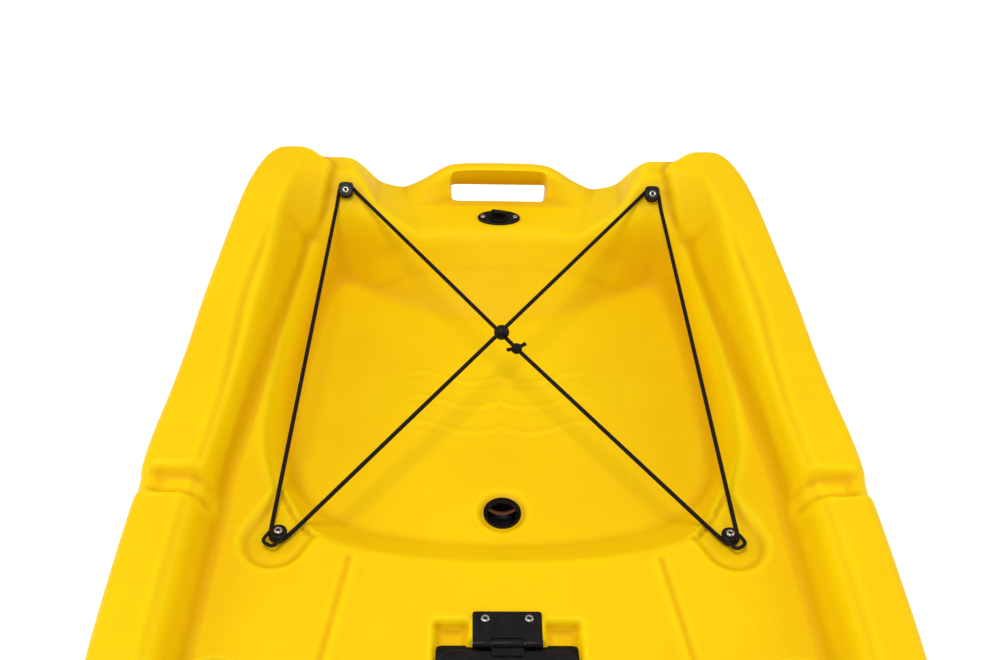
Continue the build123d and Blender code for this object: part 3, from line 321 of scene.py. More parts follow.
# %% The cord's line
SHEATH = 4.9      # over the top of the braid
CORD_POINTS = [(-1035.5, 14.0, 229.3), (-1056.0, -2.0, 231.4), (-1250.0, -156.9, 252.4),
               (-1274.7, -176.9, 255.0), (-1287.8, -191.7, 263.8), (-1284.9, -202.3, 261.8),
               (-1267.1, -204.6, 249.9), (-1240.2, -206.7, 247.8), (-818.4, -239.0, 215.7),
               (-791.5, -241.1, 213.5), (-769.2, -242.4, 213.5), (-764.6, -230.6, 213.5),
               (-781.8, -216.5, 213.5), (-802.5, -200.0, 215.3), (-1253.5, 160.0, 253.2),
               (-1274.7, 176.9, 255.0), (-1287.8, 191.7, 263.8), (-1284.9, 202.3, 261.8),
               (-1267.1, 204.6, 249.9), (-1240.2, 206.7, 247.8), (-818.4, 239.0, 215.7),
               (-791.5, 241.1, 213.5), (-769.2, 242.4, 213.5), (-764.6, 230.6, 213.5),
               (-781.8, 216.5, 213.5), (-802.4, 200.0, 214.8), (-1027.7, 20.2, 228.6)]


def cord_curve(name, points):
    """Open spline in metres that the points pull towards themselves."""
    data = bpy.data.curves.new(name, "CURVE")
    data.dimensions = "3D"
    line = data.splines.new("NURBS")
    line.points.add(len(points) - 1)
    line.points.foreach_set("co", np.c_[np.array(points) * MM, np.ones(len(points))].ravel())
    line.order_u = 3
    line.use_endpoint_u = True
    line.resolution_u = 12
    return bpy.data.objects.new(name, data)


def line_points(curve):
    """Points that the spline passes through, in mm."""
    mesh = bpy.data.meshes.new_from_object(curve)
    points = np.empty(3 * len(mesh.vertices))
    mesh.vertices.foreach_get("co", points)
    return points.reshape(-1, 3) / MM


cord_line = line_points(cord_curve("cord_line", CORD_POINTS))
cord_steps = np.linalg.norm(np.diff(cord_line, axis=0), axis=1)
print("cord points", len(cord_line), "length", round(cord_steps.sum(), 1), "mm")


# %% The braided tube
def even_line(line, step):
    """The same line with points that far apart, read off along its length."""
    keep = np.r_[True, np.linalg.norm(np.diff(line, axis=0), axis=1) > 1e-4]
    line = line[keep]
    length = np.r_[0, np.cumsum(np.linalg.norm(np.diff(line, axis=0), axis=1))]
    places = np.linspace(0, length[-1], int(length[-1] / step) + 1)
    return np.c_[tuple(np.interp(places, length, line[:, axis]) for axis in range(3))], places


def tube_frames(line):
    """Two directions square to the line at each point. The first is up, made square to it."""
    ahead = np.gradient(line, axis=0)
    ahead /= np.linalg.norm(ahead, axis=1)[:, None]
    side = np.cross(ahead, (0, 0, 1))
    side /= np.linalg.norm(side, axis=1)[:, None]
    return side, np.cross(side, ahead)


def braided_tube(line, places, radius, ways=16, relief=0.14, turn_mm=22.0):
    """Point at (place, angle): the line plus radius times the direction of that angle. Eight
    strands turn each way once in turn_mm, and each raises the skin where it lies on top."""
    side, up = tube_frames(line)
    angle = np.linspace(0, 2 * np.pi, ways, endpoint=False)[None, :]
    along = 2 * np.pi * places[:, None] / turn_mm
    strands = np.cos(8 * angle + 8 * along) * np.cos(8 * angle - 8 * along)
    reach = radius - relief * (0.5 - 0.5 * strands)
    return (line[:, None, :] + (reach * np.cos(angle))[..., None] * side[:, None, :]
            + (reach * np.sin(angle))[..., None] * up[:, None, :])


def closed_tube(points):
    """Faces of a tube with both its ends shut by a middle point; returns points and faces."""
    rows, columns = points.shape[:2]
    middles = points[[0, -1]].mean(axis=1)
    count = rows * columns
    j = np.arange(columns)
    k = (j + 1) % columns
    start = np.c_[np.full(columns, count), k, j]
    end = np.c_[np.full(columns, count + 1), (rows - 1) * columns + j, (rows - 1) * columns + k]
    faces = grid_faces(rows, columns, around=True).tolist() + start.tolist() + end.tolist()
    return np.r_[points.reshape(-1, 3), middles], faces


cord_even, cord_places = even_line(cord_line, 1.0)
cord_points, cord_faces = closed_tube(braided_tube(cord_even, cord_places, SHEATH / 2))
shock_cord = add_piece("shock_cord", cord_points, cord_faces)

# %% [markdown]
# Polyester yarn is nearly black and has a soft sheen. The tube's ridges draw the strands, and a
# fine noise stands for the fibres in them.

# %% Cord material
def braided_polyester():
    """Warm black yarn with a cloth sheen, in two close tones."""
    material, tree, shader = start_material("braided_polyester", Roughness=0.75,
                                            Specular_IOR_Level=0.2,
                                            Sheen_Weight=0.06, Sheen_Roughness=0.4)
    where = put(tree, "ShaderNodeTexCoord").outputs["Object"]
    fibres = noise(tree, where, 1.1, 3)
    tone = mixed(tree, spread(tree, fibres, 0.35, 0.7, 0, 1), linear("#080405"),
                 linear("#140B0E"))
    feed(tree, shader, Base_Color=tone, Normal=bumped(tree, fibres, 0.12, 0.7))
    return material


cord_black = braided_polyester()
shock_cord.data.materials.append(cord_black)
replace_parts(shock_cord, "bungee_cord")
print("cord material", cord_black.name)


# %% [markdown]
# ## The lines of the hull
#
# A hull is described by lines: its half width, keel, deck and rails, each as a height or width
# at a few stations. A curve that never overshoots its points joins them, so no bulge appears
# between two stations.

# %% Lines
LENGTH = 2680.0
DECK = 215.0


def fair_line(table, s):
    """Smooth curve through (s, value) points, with slopes held down so that it stays between
    them: each slope is the harmonic mean of its neighbours', or 0 where they differ in sign."""
    x, y = np.array(table, float).T
    h = np.diff(x)
    d = np.diff(y) / h
    product = d[:-1] * d[1:]
    total = np.where(d[:-1] + d[1:] == 0, 1, d[:-1] + d[1:])
    m = np.r_[d[0], np.where(product > 0, 2 * product / total, 0), d[-1]]
    s = np.clip(s, x[0], x[-1])
    k = np.clip(np.searchsorted(x, s, side="right") - 1, 0, len(h) - 1)
    t = (s - x[k]) / h[k]
    return ((2 * t ** 3 - 3 * t ** 2 + 1) * y[k] + (t ** 3 - 2 * t ** 2 + t) * h[k] * m[k]
            + (3 * t ** 2 - 2 * t ** 3) * y[k + 1] + (t ** 3 - t ** 2) * h[k] * m[k + 1])


HALF_BEAM = [(0, 265), (5, 278.5), (12, 290.5), (32, 303.5), (80, 317.5), (140, 327), (212, 337),
             (281, 346), (346, 352.5), (420, 362), (470, 370), (505, 374), (545, 375.5), (573, 378),
             (640, 383), (752, 388.5), (1000, 390), (1126, 390), (1474, 386), (1822, 363),
             (2117, 312), (2358, 242), (2533, 172), (2640, 113), (2680, 62)]
KEEL = [(0, 90), (80, 55), (214, 28), (402, 10), (590, 0), (1822, 0), (2117, 8), (2358, 28),
        (2533, 70), (2640, 130), (2680, 175)]
DECK_RISE = [(0, 0), (1822, 0), (2117, 14), (2358, 45), (2533, 78), (2640, 98), (2680, 104)]
RAIL_RISE = [(0, 75), (80, 75), (214, 70), (402, 63), (590, 60), (1822, 60), (2117, 52),
             (2358, 36), (2533, 22), (2640, 14), (2680, 10)]
# widths in from the hull's side: the rail's flat top, the lip inside it, and its foot
RAIL_STEP = [(0, 50), (110, 50), (160, 48), (270, 45), (340, 49), (490, 58), (560, 52), (640, 51),
             (1822, 50), (2117, 46), (2358, 38), (2533, 32), (2640, 26), (2680, 20)]
RAIL_LIP = [(0, 54), (102, 54), (195, 60), (270, 63), (340, 65), (490, 69), (560, 61), (1822, 58),
            (2117, 54), (2358, 46), (2533, 38), (2640, 30), (2680, 24)]
RAIL_FOOT = [(0, 98), (90, 96), (118, 87), (205, 84), (445, 79), (597, 82), (1822, 80),
             (2117, 74), (2358, 60), (2533, 47), (2640, 36), (2680, 28)]
STEP_DEPTH = [(0, 0), (120, 0), (220, 5.5), (1900, 5.5), (2200, 2), (2680, 1)]
SIDE_EDGE, SIDE_DROP = 13.0, 22.0   # how far in and how far down the deck's edge turns
CHINE_RISE = 75                     # of the sides' lower edge over the keel
print("half beam at the well", round(float(fair_line(HALF_BEAM, 340.0)), 1))


# %% [markdown]
# ## Outlines and distances
#
# A pocket in the deck is an outline and a depth. The distance of every point from the outline
# gives both the pocket's wall and the round-over at its rim. Cutting the corners of a rough
# outline a few times makes a smooth one, as a joiner rounds a template.

# %% Outlines
def cut_corners(outline, times=3):
    """Closed outline whose corners are cut at a quarter and three quarters of each side."""
    points = np.array(outline, float)
    for _ in range(times):
        after = np.roll(points, -1, axis=0)
        points = np.stack([0.75 * points + 0.25 * after, 0.25 * points + 0.75 * after],
                          axis=1).reshape(-1, 2)
    return points


def both_sides(half):
    """Closed outline from one half, (s, y) from the middle outwards and back to it."""
    return half + [(s, -y) for s, y in reversed(half)]


def depth_inside(outline, s, y):
    """Distance in from a closed outline, negative outside: the least distance to any side,
    with its sign from how often a line to the left crosses the outline."""
    nearest = np.full(s.shape, 1e9)
    inside = np.zeros(s.shape, bool)
    for (s0, y0), (s1, y1) in zip(outline, np.roll(outline, -1, axis=0)):
        ds, dy = s1 - s0, y1 - y0
        t = np.clip(((s - s0) * ds + (y - y0) * dy) / (ds * ds + dy * dy + 1e-12), 0, 1)
        nearest = np.minimum(nearest, (s - s0 - t * ds) ** 2 + (y - y0 - t * dy) ** 2)
        if dy:
            inside ^= ((y0 > y) != (y1 > y)) & (s < s0 + (y - y0) / dy * ds)
    return np.where(inside, 1, -1) * np.sqrt(nearest)


def box_depth(s, y, low, high, half, corner):
    """Distance in from a rounded rectangle between two s and half wide each side."""
    a = np.abs(s - (low + high) / 2) - (high - low) / 2 + corner
    b = np.abs(y) - half + corner
    return corner - np.hypot(np.maximum(a, 0), np.maximum(b, 0)) - np.minimum(np.maximum(a, b), 0)


def disc_depth(s, y, middle_s, middle_y, radius):
    return radius - np.hypot(s - middle_s, y - middle_y)


def along_segment(s, y, start, end):
    """Distance from a straight segment."""
    ds, dy = end[0] - start[0], end[1] - start[1]
    t = np.clip(((s - start[0]) * ds + (y - start[1]) * dy) / (ds * ds + dy * dy), 0, 1)
    return np.hypot(s - start[0] - t * ds, y - start[1] - t * dy)


# %% [markdown]
# ## The deck as a height at every point
#
# The deck, rails, shoulders and handle are heights over the ground, and the highest of them
# wins. The pockets then pull that surface down to their floors. Softening the heights a few
# times, as sand settles, gives the generous roundings that a rotomoulded skin always has,
# because the powder can't fill a sharp corner.

# %% Rails, shoulders and handle
SHOULDER_TOP = 55.0
END_CREST = [(60, 0), (100, 4), (131, 8), (154, 15), (163, 25), (173, 38), (190, 53),
             (196, 55)]   # (|y|, rise) of the hull's upper edge at the stern
HANDLE_CREST = [(0, 49), (35, 48.5), (60, 46), (76, 38), (89, 28), (110, 14), (131, 4)]
HORN_EDGE = [(0, 240), (10, 234), (28, 214), (60, 221), (100, 230), (118, 236.5)]   # (s, |y|)
HORN_LOW = [(0, 68), (35, 68), (60, 52), (100, 16), (118, 0)]   # its rise along that edge


def rail_height(s, in_from_side):
    """Rise over the deck: a flat top, a small step down to a lip, then a slope to the foot. On
    the horns at the stern the slope ends higher, at an edge that drops to the shoulder."""
    top = fair_line(RAIL_RISE, s)
    step = fair_line(RAIL_STEP, s)
    drop = fair_line(STEP_DEPTH, s)
    foot = np.where(s < 118, fair_line(HALF_BEAM, s) - fair_line(HORN_EDGE, s),
                    fair_line(RAIL_FOOT, s))
    lip = np.minimum(fair_line(RAIL_LIP, s), foot - 8)
    low = fair_line(HORN_LOW, s)
    lip_top = top - drop - 1.5 * (drop > 0)
    return (top - drop * ramp(in_from_side, step, step + 3)
            - 1.5 * ramp(in_from_side, step + 3, lip) * (drop > 0)
            - (lip_top - low) * ramp(in_from_side, lip, foot)
            - low * ramp(in_from_side, foot, foot + 7))


def stern_height(s, a):
    """Rise of the rear deck, the hooks' shoulders and the grab handle, a being |y|. A shoulder
    is the lowest of its level top, the face that carries the hook, and a slope that starts from
    the stern's own crest."""
    rear = 10 * (1 - ramp(s, 104, 150)) - 3 * ramp(a, 70, 140) * (1 - ramp(s, 104, 150))
    face = SHOULDER_TOP - 0.675 * (s - 35)
    inner = fair_line(END_CREST, a) + 0.2 * s * ramp(a, 90, 150)
    shoulder = np.minimum(np.minimum(SHOULDER_TOP, face), inner)
    hump = fair_line(HANDLE_CREST, a)
    handle = np.where(s < 20, hump, hump - (hump - 9) * ramp(s, 20, 42))
    return np.maximum(np.maximum(rear, shoulder), np.where(s < 60, handle, 0))


# %% [markdown]
# Wells: the stern well is long and deep, with a steep side and an easy slope at the front. The
# seat tray, seat and foot wells follow further forward.

# %% Pockets
WELL_DEPTH, TRAY_DEPTH, SEAT_DEPTH, FOOT_DEPTH = 62.0, 42, 105, 128
TRAY_WALL, SEAT_WALL = 26, 48       # how wide the slopes at their rims are
CONSOLE_HALF = 48
WELL_RIM = cut_corners(both_sides([(97, 30), (97, 66), (106, 96), (90, 138), (77, 186), (84, 216),
                                   (120, 233), (170, 240), (300, 257), (400, 264), (450, 263),
                                   (531, 228), (569, 200), (590, 130), (599, 50)]))
WELL_FLOOR = cut_corners(both_sides([(180, 30), (168, 80), (140, 140), (118, 180), (112, 205),
                                     (150, 221), (240, 232), (330, 240), (420, 240), (475, 222),
                                     (512, 170), (530, 90), (534, 40)]))
TRAY_RIM = cut_corners(both_sides([(905, 60), (912, 185), (995, 272), (1300, 288), (1870, 262),
                                   (1990, 165), (1993, 60)]))
SEAT_RIM = cut_corners(both_sides([(928, 60), (930, 165), (1040, 205), (1230, 198), (1290, 150),
                                   (1292, 60)]))


def soften(heights, times):
    """Each point moves halfway to the mean of its neighbours, along and then across."""
    for _ in range(times):
        heights[1:-1] += 0.25 * (heights[:-2] + heights[2:] - 2 * heights[1:-1])
        heights[:, 1:-1] += 0.25 * (heights[:, :-2] + heights[:, 2:] - 2 * heights[:, 1:-1])
    return heights


def well_share(s, a):
    """0 on the rim outline and 1 on the floor outline, by the distances from the two."""
    rim = np.maximum(depth_inside(WELL_RIM, s, a), 0)
    floor = np.maximum(-depth_inside(WELL_FLOOR, s, a), 0)
    return np.where(rim > 0, rim / (rim + floor + 1e-9), 0)


def foot_share(s, a):
    """The foot wells, each side of a console; their outer side tapers."""
    outer = 0.8 * (fair_line(HALF_BEAM, s) - fair_line(RAIL_FOOT, s))
    ends = np.minimum((s - 1345) / 90, (1955 - s) / 26)
    sides = np.minimum((a - CONSOLE_HALF) / 16, (outer - a) / 20)
    return ease(np.minimum(ends, sides))


def big_pockets(s, a, height):
    """The surface pulled down to the floor of each large pocket in turn."""
    for share, depth in ((soften(well_share(s, a), 6), WELL_DEPTH),
                         (ease(depth_inside(TRAY_RIM, s, a) / TRAY_WALL), TRAY_DEPTH),
                         (ease(depth_inside(SEAT_RIM, s, a) / SEAT_WALL), SEAT_DEPTH),
                         (foot_share(s, a), FOOT_DEPTH)):
        height = height * (1 - share) + (DECK - depth) * share
    return height


print("points in the well's rim", len(WELL_RIM), "and floor", len(WELL_FLOOR))


# %% [markdown]
# Small features stay crisper: the channel of each front hook, the round seats of the seat eyes,
# the cross grooves in the rails, the thin panel lines in the deck, the hatch's recess, and three
# wave-shaped beads that stiffen the floor of the stern well.

# %% Small features
HOOK_FRONT = (565.0, 233.3)
HOOK_WAY = (0.88, 0.475)
CHANNEL_RADIUS, CHANNEL_DEPTH = 39, 7.5
EYE_SEAT, EYE_SEAT_DEPTH = (742, 279.5, 29), 4      # s, |y| and radius
NOTCH_DEPTH = 13
PANEL_LINE, PANEL_LINE_DEPTH = ((594, 160), (900, 212)), 2.2
PANEL_EDGE, PANEL_EDGE_RISE = ((596, 151), (900, 203)), 1.4
HATCH_RECESS = (689.5, 893, 73, 9)                  # ends in s, half width, corner
HINGE_EAR = (668, 720, 18.5, 4)
EAR_MIDDLE, HATCH_DEPTH = 54.5, 14
BEADS, BEAD_WIDTH, BEAD_RISE = (285, 325, 365), 3.6, 1.6
DISH_RADIUS, DISH_DEPTH = 31, 4.5
SCUPPERS = [(487.0, 0.0, DECK - WELL_DEPTH), (1160.0, 92.25, DECK - SEAT_DEPTH),
            (1865.0, 134.5, DECK - FOOT_DEPTH)]     # s, |y| and the floor's height


def small_features(s, y, in_from_side):
    """Change of height that the small features make, a being |y|."""
    a = np.abs(y)
    start, end = ((HOOK_FRONT[0] + far * HOOK_WAY[0], HOOK_FRONT[1] + far * HOOK_WAY[1])
                  for far in (9, -120))
    channel = ease(ramp(CHANNEL_RADIUS - along_segment(s, a, start, end), 0, 12))
    change = -CHANNEL_DEPTH * channel * (depth_inside(WELL_RIM, s, a) < 4)
    change -= EYE_SEAT_DEPTH * ramp(disc_depth(s, a, *EYE_SEAT), 0, 3)
    notch = ramp(s, 521, 530) * (1 - ramp(s, 549, 560))
    outer = 0.4 + 0.6 * ease(ramp(in_from_side, 10, 26))
    change -= NOTCH_DEPTH * notch * outer * (1 - ease(ramp(in_from_side, 62, 80)))
    line = along_segment(s, a, *PANEL_LINE)
    change -= PANEL_LINE_DEPTH * (1 - ramp(line, 1.0, 5.5))
    change += PANEL_EDGE_RISE * (1 - ramp(along_segment(s, a, *PANEL_EDGE), 0, 9)) * (line > 3)
    hatch = ramp(box_depth(s, y, *HATCH_RECESS), 0, 3.5)
    ears = ramp(box_depth(s, a - EAR_MIDDLE, *HINGE_EAR), 0, 5)
    change -= HATCH_DEPTH * np.maximum(hatch, ears)
    ripple = 9 * np.sin(a / 21)
    beads = sum(np.exp(-((s - middle - ripple) / BEAD_WIDTH) ** 2) for middle in BEADS)
    change += BEAD_RISE * beads * (1 - ease(ramp(a, 95, 125)))
    for middle_s, middle_y, _ in SCUPPERS:
        change -= DISH_DEPTH * ease(ramp(disc_depth(s, a, middle_s, middle_y, DISH_RADIUS), 0, 9))
    return change


print("scuppers along the hull", [s for s, _, _ in SCUPPERS])


# %% [markdown]
# ## The grid that fits the body
#
# Rows cross the hull, close together at the stern and wider apart forward. Columns share out
# the width between the rails' outer edges, so they follow the sides. Past the deck, more columns
# go round the edge and down the sides to the chine.

# %% Rows and columns
def rows_between(stops):
    """s of each row: runs of (end, spacing) one after another from the stern."""
    rows = [0, 0.5, 1.5, 3, 5, 7.5]
    for end, spacing in stops:
        count = max(1, round((end - rows[-1]) / spacing))
        rows += list(np.linspace(rows[-1], end, count + 1)[1:])
    return np.array(rows)


rows_s = rows_between([(130, 2.6), (500, 3.6), (760, 2.9), (905, 3.1), (1275, 7.5), (1525, 4.5),
                       (2600, 9), (2672.5, 3.5), (2675, 2.5), (2677, 2), (2678.5, 1.5),
                       (2679.5, 1), (2680, 0.5)])
ACROSS = 272
share_across = np.linspace(-1, 1, ACROSS + 1)
beam = fair_line(HALF_BEAM, rows_s)
grid_s = np.repeat(rows_s[:, None], ACROSS + 1, axis=1)
grid_y = share_across[None, :] * (beam - SIDE_EDGE)[:, None]
print("rows", len(rows_s), "columns", ACROSS + 1)


# %% [markdown]
# Openings: where something goes through the deck, the nearest block of the grid is left out,
# and the points round it slide onto the opening's outline. The points further out move less
# and less, so the grid stays even.

# %% Openings in the grid
def ring_outline(s, y, middle, half, corner):
    """Nearest point on a rounded rectangle with that middle, half sizes and corner radius."""
    ds, dy = s - middle[0], y - middle[1]
    inner_s = np.clip(ds, corner - half[0], half[0] - corner)
    inner_y = np.clip(dy, corner - half[1], half[1] - corner)
    vs, vy = ds - inner_s, dy - inner_y
    size = np.maximum(np.hypot(vs, vy), 1e-9)
    return middle[0] + inner_s + corner * vs / size, middle[1] + inner_y + corner * vy / size


def open_grid(s, y, middle, half, corner, reach=5):
    """Moves the grid onto the outline, and returns it with the block (i0, i1, j0, j1)."""
    long, wide = half[0] - 0.25 * corner, half[1] - 0.25 * corner
    rows = s[:, s.shape[1] // 2]
    i0, i1 = (int(np.abs(rows - middle[0] - sign * long).argmin()) for sign in (-1, 1))
    columns = y[(i0 + i1) // 2]
    j0, j1 = (int(np.abs(columns - middle[1] - sign * wide).argmin()) for sign in (-1, 1))
    i, j = np.indices(s.shape)
    near_i, near_j = np.clip(i, i0, i1), np.clip(j, j0, j1)
    away = np.maximum(np.abs(i - near_i), np.abs(j - near_j))
    share = np.clip(1 - away / reach, 0, 1)
    edge_s, edge_y = ring_outline(s[near_i, near_j], y[near_i, near_j], middle, half, corner)
    inner = (i > i0) & (i < i1) & (j > j0) & (j < j1)
    share = np.where(inner, 0, share)
    return (s + share * (edge_s - s[near_i, near_j]), y + share * (edge_y - y[near_i, near_j]),
            (i0, i1, j0, j1))


def ring_of(block):
    """Row and column numbers of the block's border, once round."""
    i0, i1, j0, j1 = block
    i = np.r_[np.full(j1 - j0, i0), np.arange(i0, i1), np.full(j1 - j0, i1), np.arange(i1, i0, -1)]
    j = np.r_[np.arange(j0, j1), np.full(i1 - i0, j1), np.arange(j1, j0, -1), np.full(i1 - i0, j0)]
    return i, j


scupper_spots = [(s, side * y, z) for s, y, z in SCUPPERS
                 for side in ((1,) if y == 0 else (1, -1))]
OPENINGS = [((29.5, 0), (11, 64), 11), ((LENGTH - 33, 0), (13, 40), 11), ((71, 0), (12, 12), 12),
            ((792, 0), (73, 50), 10)] + [((s, y), (22, 22), 22) for s, y, _ in scupper_spots]
deck_blocks = []
for middle, half, corner in OPENINGS:
    grid_s, grid_y, block = open_grid(grid_s, grid_y, middle, half, corner)
    deck_blocks.append(block)
print("openings", deck_blocks)


# %% Heights over the whole grid
side_in = fair_line(HALF_BEAM, grid_s) - np.abs(grid_y)
side_out = np.abs(grid_y)
upper = np.maximum(rail_height(grid_s, side_in), stern_height(grid_s, side_out))
upper += DECK + fair_line(DECK_RISE, grid_s)
upper = soften(upper, 1)
grid_z = soften(big_pockets(grid_s, side_out, upper), 1)
grid_z += small_features(grid_s, grid_y, side_in)
print("deck heights", round(grid_z.min(), 1), "to", round(grid_z.max(), 1))

# %% [markdown]
# The sides: from the deck's edge a quarter ellipse turns down, then the side leans in to the
# chine. The swing handles hang in a recess in each side.

# %% Sides
EDGE_STEPS, SIDE_STEPS = 7, 26
HANDLE_S = 1400.0
POCKET_FLOOR = 356.9
POCKET_HALF_LONG, POCKET_HALF_HIGH, POCKET_Z = 122, 51, 206


def end_round(s, z):
    """Fall of the edge at both ends of the hull, a quarter circle, larger on the horns."""
    near = np.minimum(s, LENGTH - s)
    radius = 9 + 7 * ramp(z, DECK + 56, DECK + 72) * (s < 100)
    return radius - np.sqrt(np.maximum(radius ** 2 - np.maximum(radius - near, 0) ** 2, 0))


def side_columns(s, crest_z):
    """Points (row, column) from just past the crest down to the chine, y outwards."""
    b = fair_line(HALF_BEAM, s)[:, None]
    keel = fair_line(KEEL, s)[:, None]
    turn = np.linspace(0, np.pi / 2, EDGE_STEPS + 1)[None, 1:]
    y_edge = b - SIDE_EDGE + SIDE_EDGE * np.sin(turn)
    z_edge = crest_z[:, None] - SIDE_DROP * (1 - np.cos(turn))
    down = np.linspace(0, 1, SIDE_STEPS + 1)[None, 1:]
    z_low = keel + CHINE_RISE - 10 * (1 - ramp(s, 0, 200))[:, None]
    y_side = b - 0.07 * b * (0.35 * down + 0.65 * down ** 2)
    z_side = (crest_z[:, None] - SIDE_DROP) * (1 - down) + z_low * down
    y = np.hstack([y_edge, y_side])
    z = np.hstack([z_edge, z_side])
    pocket = np.minimum(POCKET_HALF_LONG - np.abs(s[:, None] - HANDLE_S),
                        POCKET_HALF_HIGH - np.abs(z - POCKET_Z))
    sunk = ease(pocket / 9)
    y = y * (1 - sunk) + np.minimum(y, POCKET_FLOOR) * sunk
    return y, z


crest = grid_z[:, 0]
side_y, side_z = side_columns(rows_s, crest)
side_s = np.repeat(rows_s[:, None], side_y.shape[1], axis=1)
skin_s = np.hstack([side_s[:, ::-1], grid_s, side_s])
skin_y = np.hstack([-side_y[:, ::-1], grid_y, side_y])
skin_z = np.hstack([side_z[:, ::-1], grid_z, side_z])
chine = fair_line(KEEL, skin_s) + CHINE_RISE
skin_z -= end_round(skin_s, skin_z) * ramp(skin_z, chine, chine + 35)
skin = np.stack([skin_s - LENGTH / 2, skin_y, skin_z], axis=-1)
SIDE_COLUMNS = side_y.shape[1]
print("skin grid", skin.shape)


# %% [markdown]
# The skin's colour is painted paler on crests and edges, a painted highlight, and darker in
# hollows, a painted shade, so that the roundings read crisper. How far each point lies below
# the curve through its neighbours says which it is, and goes with the mesh as a number from -1
# on a crest to 1 in a hollow.

# %% Where the skin's colour is painted lighter or darker
def bend_along(z, place, axis):
    """Change of slope at each point along one direction of the grid, times 1.5."""
    slope = np.diff(z, axis=axis) / np.maximum(np.diff(place, axis=axis), 0.3)
    bend = np.zeros_like(z)
    inner = [slice(None), slice(None)]
    inner[axis] = slice(1, -1)
    bend[tuple(inner)] = np.diff(slope, axis=axis) * 1.5
    return bend


crease_shading_deck = soften(bend_along(grid_z, grid_s, 0) + bend_along(grid_z, grid_y, 1), 1)
crease_shading = np.zeros(skin_z.shape)
crease_shading[:, SIDE_COLUMNS:-SIDE_COLUMNS] = np.clip(crease_shading_deck / 0.6, -1, 1)
print("hollows over half", int((crease_shading > 0.5).sum()), "crests", int((crease_shading < -0.5).sum()))


# the stored curvature number drives the painted shade and painted highlight of the skin
def store_crease_shading(piece, values):
    """Stores one number for each point of a piece."""
    layer = piece.data.attributes.new("crease_shading", "FLOAT", "POINT")
    layer.data.foreach_set("value", np.asarray(values, float))


# %% Making the two deck pieces
def faces_without(rows, columns, blocks):
    """Grid faces with the opened blocks left out, turned so that they look outwards."""
    faces = grid_faces(rows, columns)
    i, j = faces[:, 0] // columns, faces[:, 0] % columns
    keep = np.ones(len(faces), bool)
    for i0, i1, j0, j1 in blocks:
        keep &= ~((i >= i0) & (i < i1) & (j >= j0) & (j < j1))
    return faces[keep][:, ::-1]


def used_only(points, faces):
    """Drops the points that no face uses."""
    used, new = np.unique(faces, return_inverse=True)
    return points.reshape(-1, 3)[used], new.reshape(faces.shape)


SEAM_ROW = int(np.abs(rows_s - 905).argmin())
skin_blocks = [(i0, i1, j0 + SIDE_COLUMNS, j1 + SIDE_COLUMNS) for i0, i1, j0, j1 in deck_blocks]
hull_pieces = []
for name, low, high_row in (("hull_deck_aft", 0, SEAM_ROW),
                            ("hull_deck_fore", SEAM_ROW, len(rows_s) - 1)):
    part = skin[low:high_row + 1]
    blocks = [(i0 - low, i1 - low, j0, j1) for i0, i1, j0, j1 in skin_blocks]
    faces = faces_without(part.shape[0], part.shape[1], blocks)
    hull_pieces.append(add_piece(name, *used_only(part, faces)))
    store_crease_shading(hull_pieces[-1], crease_shading[low:high_row + 1].ravel()[np.unique(faces)])

# %% [markdown]
# The bottom is a second grid, from chine to chine. Its section is a curve that leaves the side
# in the same direction and lies flat on the ground in the middle.

# %% Bottom
FLAT_SHARE = 0.56        # of the half beam that lies flat on the ground


def cubic(t, a, b, c, d):
    """Curve from a to d that leaves towards b and arrives from c."""
    return (1 - t) ** 3 * a + 3 * (1 - t) ** 2 * t * b + 3 * (1 - t) * t ** 2 * c + t ** 3 * d


def bottom_points(s, half_count):
    """Half a section from the chine to the middle: a cubic curve, then the flat."""
    b = fair_line(HALF_BEAM, s)[:, None]
    keel = fair_line(KEEL, s)[:, None]
    start_y, start_z = skin_y[:, -1][:, None], skin_z[:, -1][:, None]
    fall = (skin_z[:, -1] - skin_z[:, -3])[:, None]
    lean = (skin_y[:, -1] - skin_y[:, -3])[:, None]
    share = 0.45 * (start_z - keel) / np.where(fall == 0, -1, fall)
    t = np.linspace(0, 1, half_count)[None, :]
    y = cubic(t, start_y, start_y + lean * share, 0.76 * b, FLAT_SHARE * b)
    z = cubic(t, start_z, start_z + fall * share, keel, keel)
    flat = np.linspace(1, 0, 15)[None, 1:]
    return np.hstack([y, FLAT_SHARE * b * flat]), np.hstack([z, keel * np.ones_like(flat)])


low_y, low_z = bottom_points(rows_s, 14)
base_y = np.hstack([low_y, -low_y[:, -2::-1]])
base_z = np.hstack([low_z, low_z[:, -2::-1]])
base_s = np.repeat(rows_s[:, None], base_y.shape[1], axis=1)
base_blocks = []
for s, y, _ in scupper_spots:
    base_s, flipped, block = open_grid(base_s, -base_y, (s, -y), (17, 17), 17, reach=2)
    base_y = -flipped
    base_blocks.append(block)
base = np.stack([base_s - LENGTH / 2, base_y, base_z], axis=-1)
base_faces = faces_without(base.shape[0], base.shape[1], base_blocks)
hull_pieces.append(add_piece("hull_bottom", *used_only(base, base_faces)))


# %% [markdown]
# The ends: straight lines join the deck's last row to the bottom's. The hand slots come out
# through these end faces, below a bar of the moulding that makes the grab handle.

# %% Ends and hand slots
SLOT_FLOOR = -30.0                  # height over the deck of the slot's lower edge
FLOOR_ROW, ROOF_ROW = 3, 7          # rows of the end's grid at the slot's two edges
TUNNEL_WAYS, TUNNEL_STEPS = 160, 14


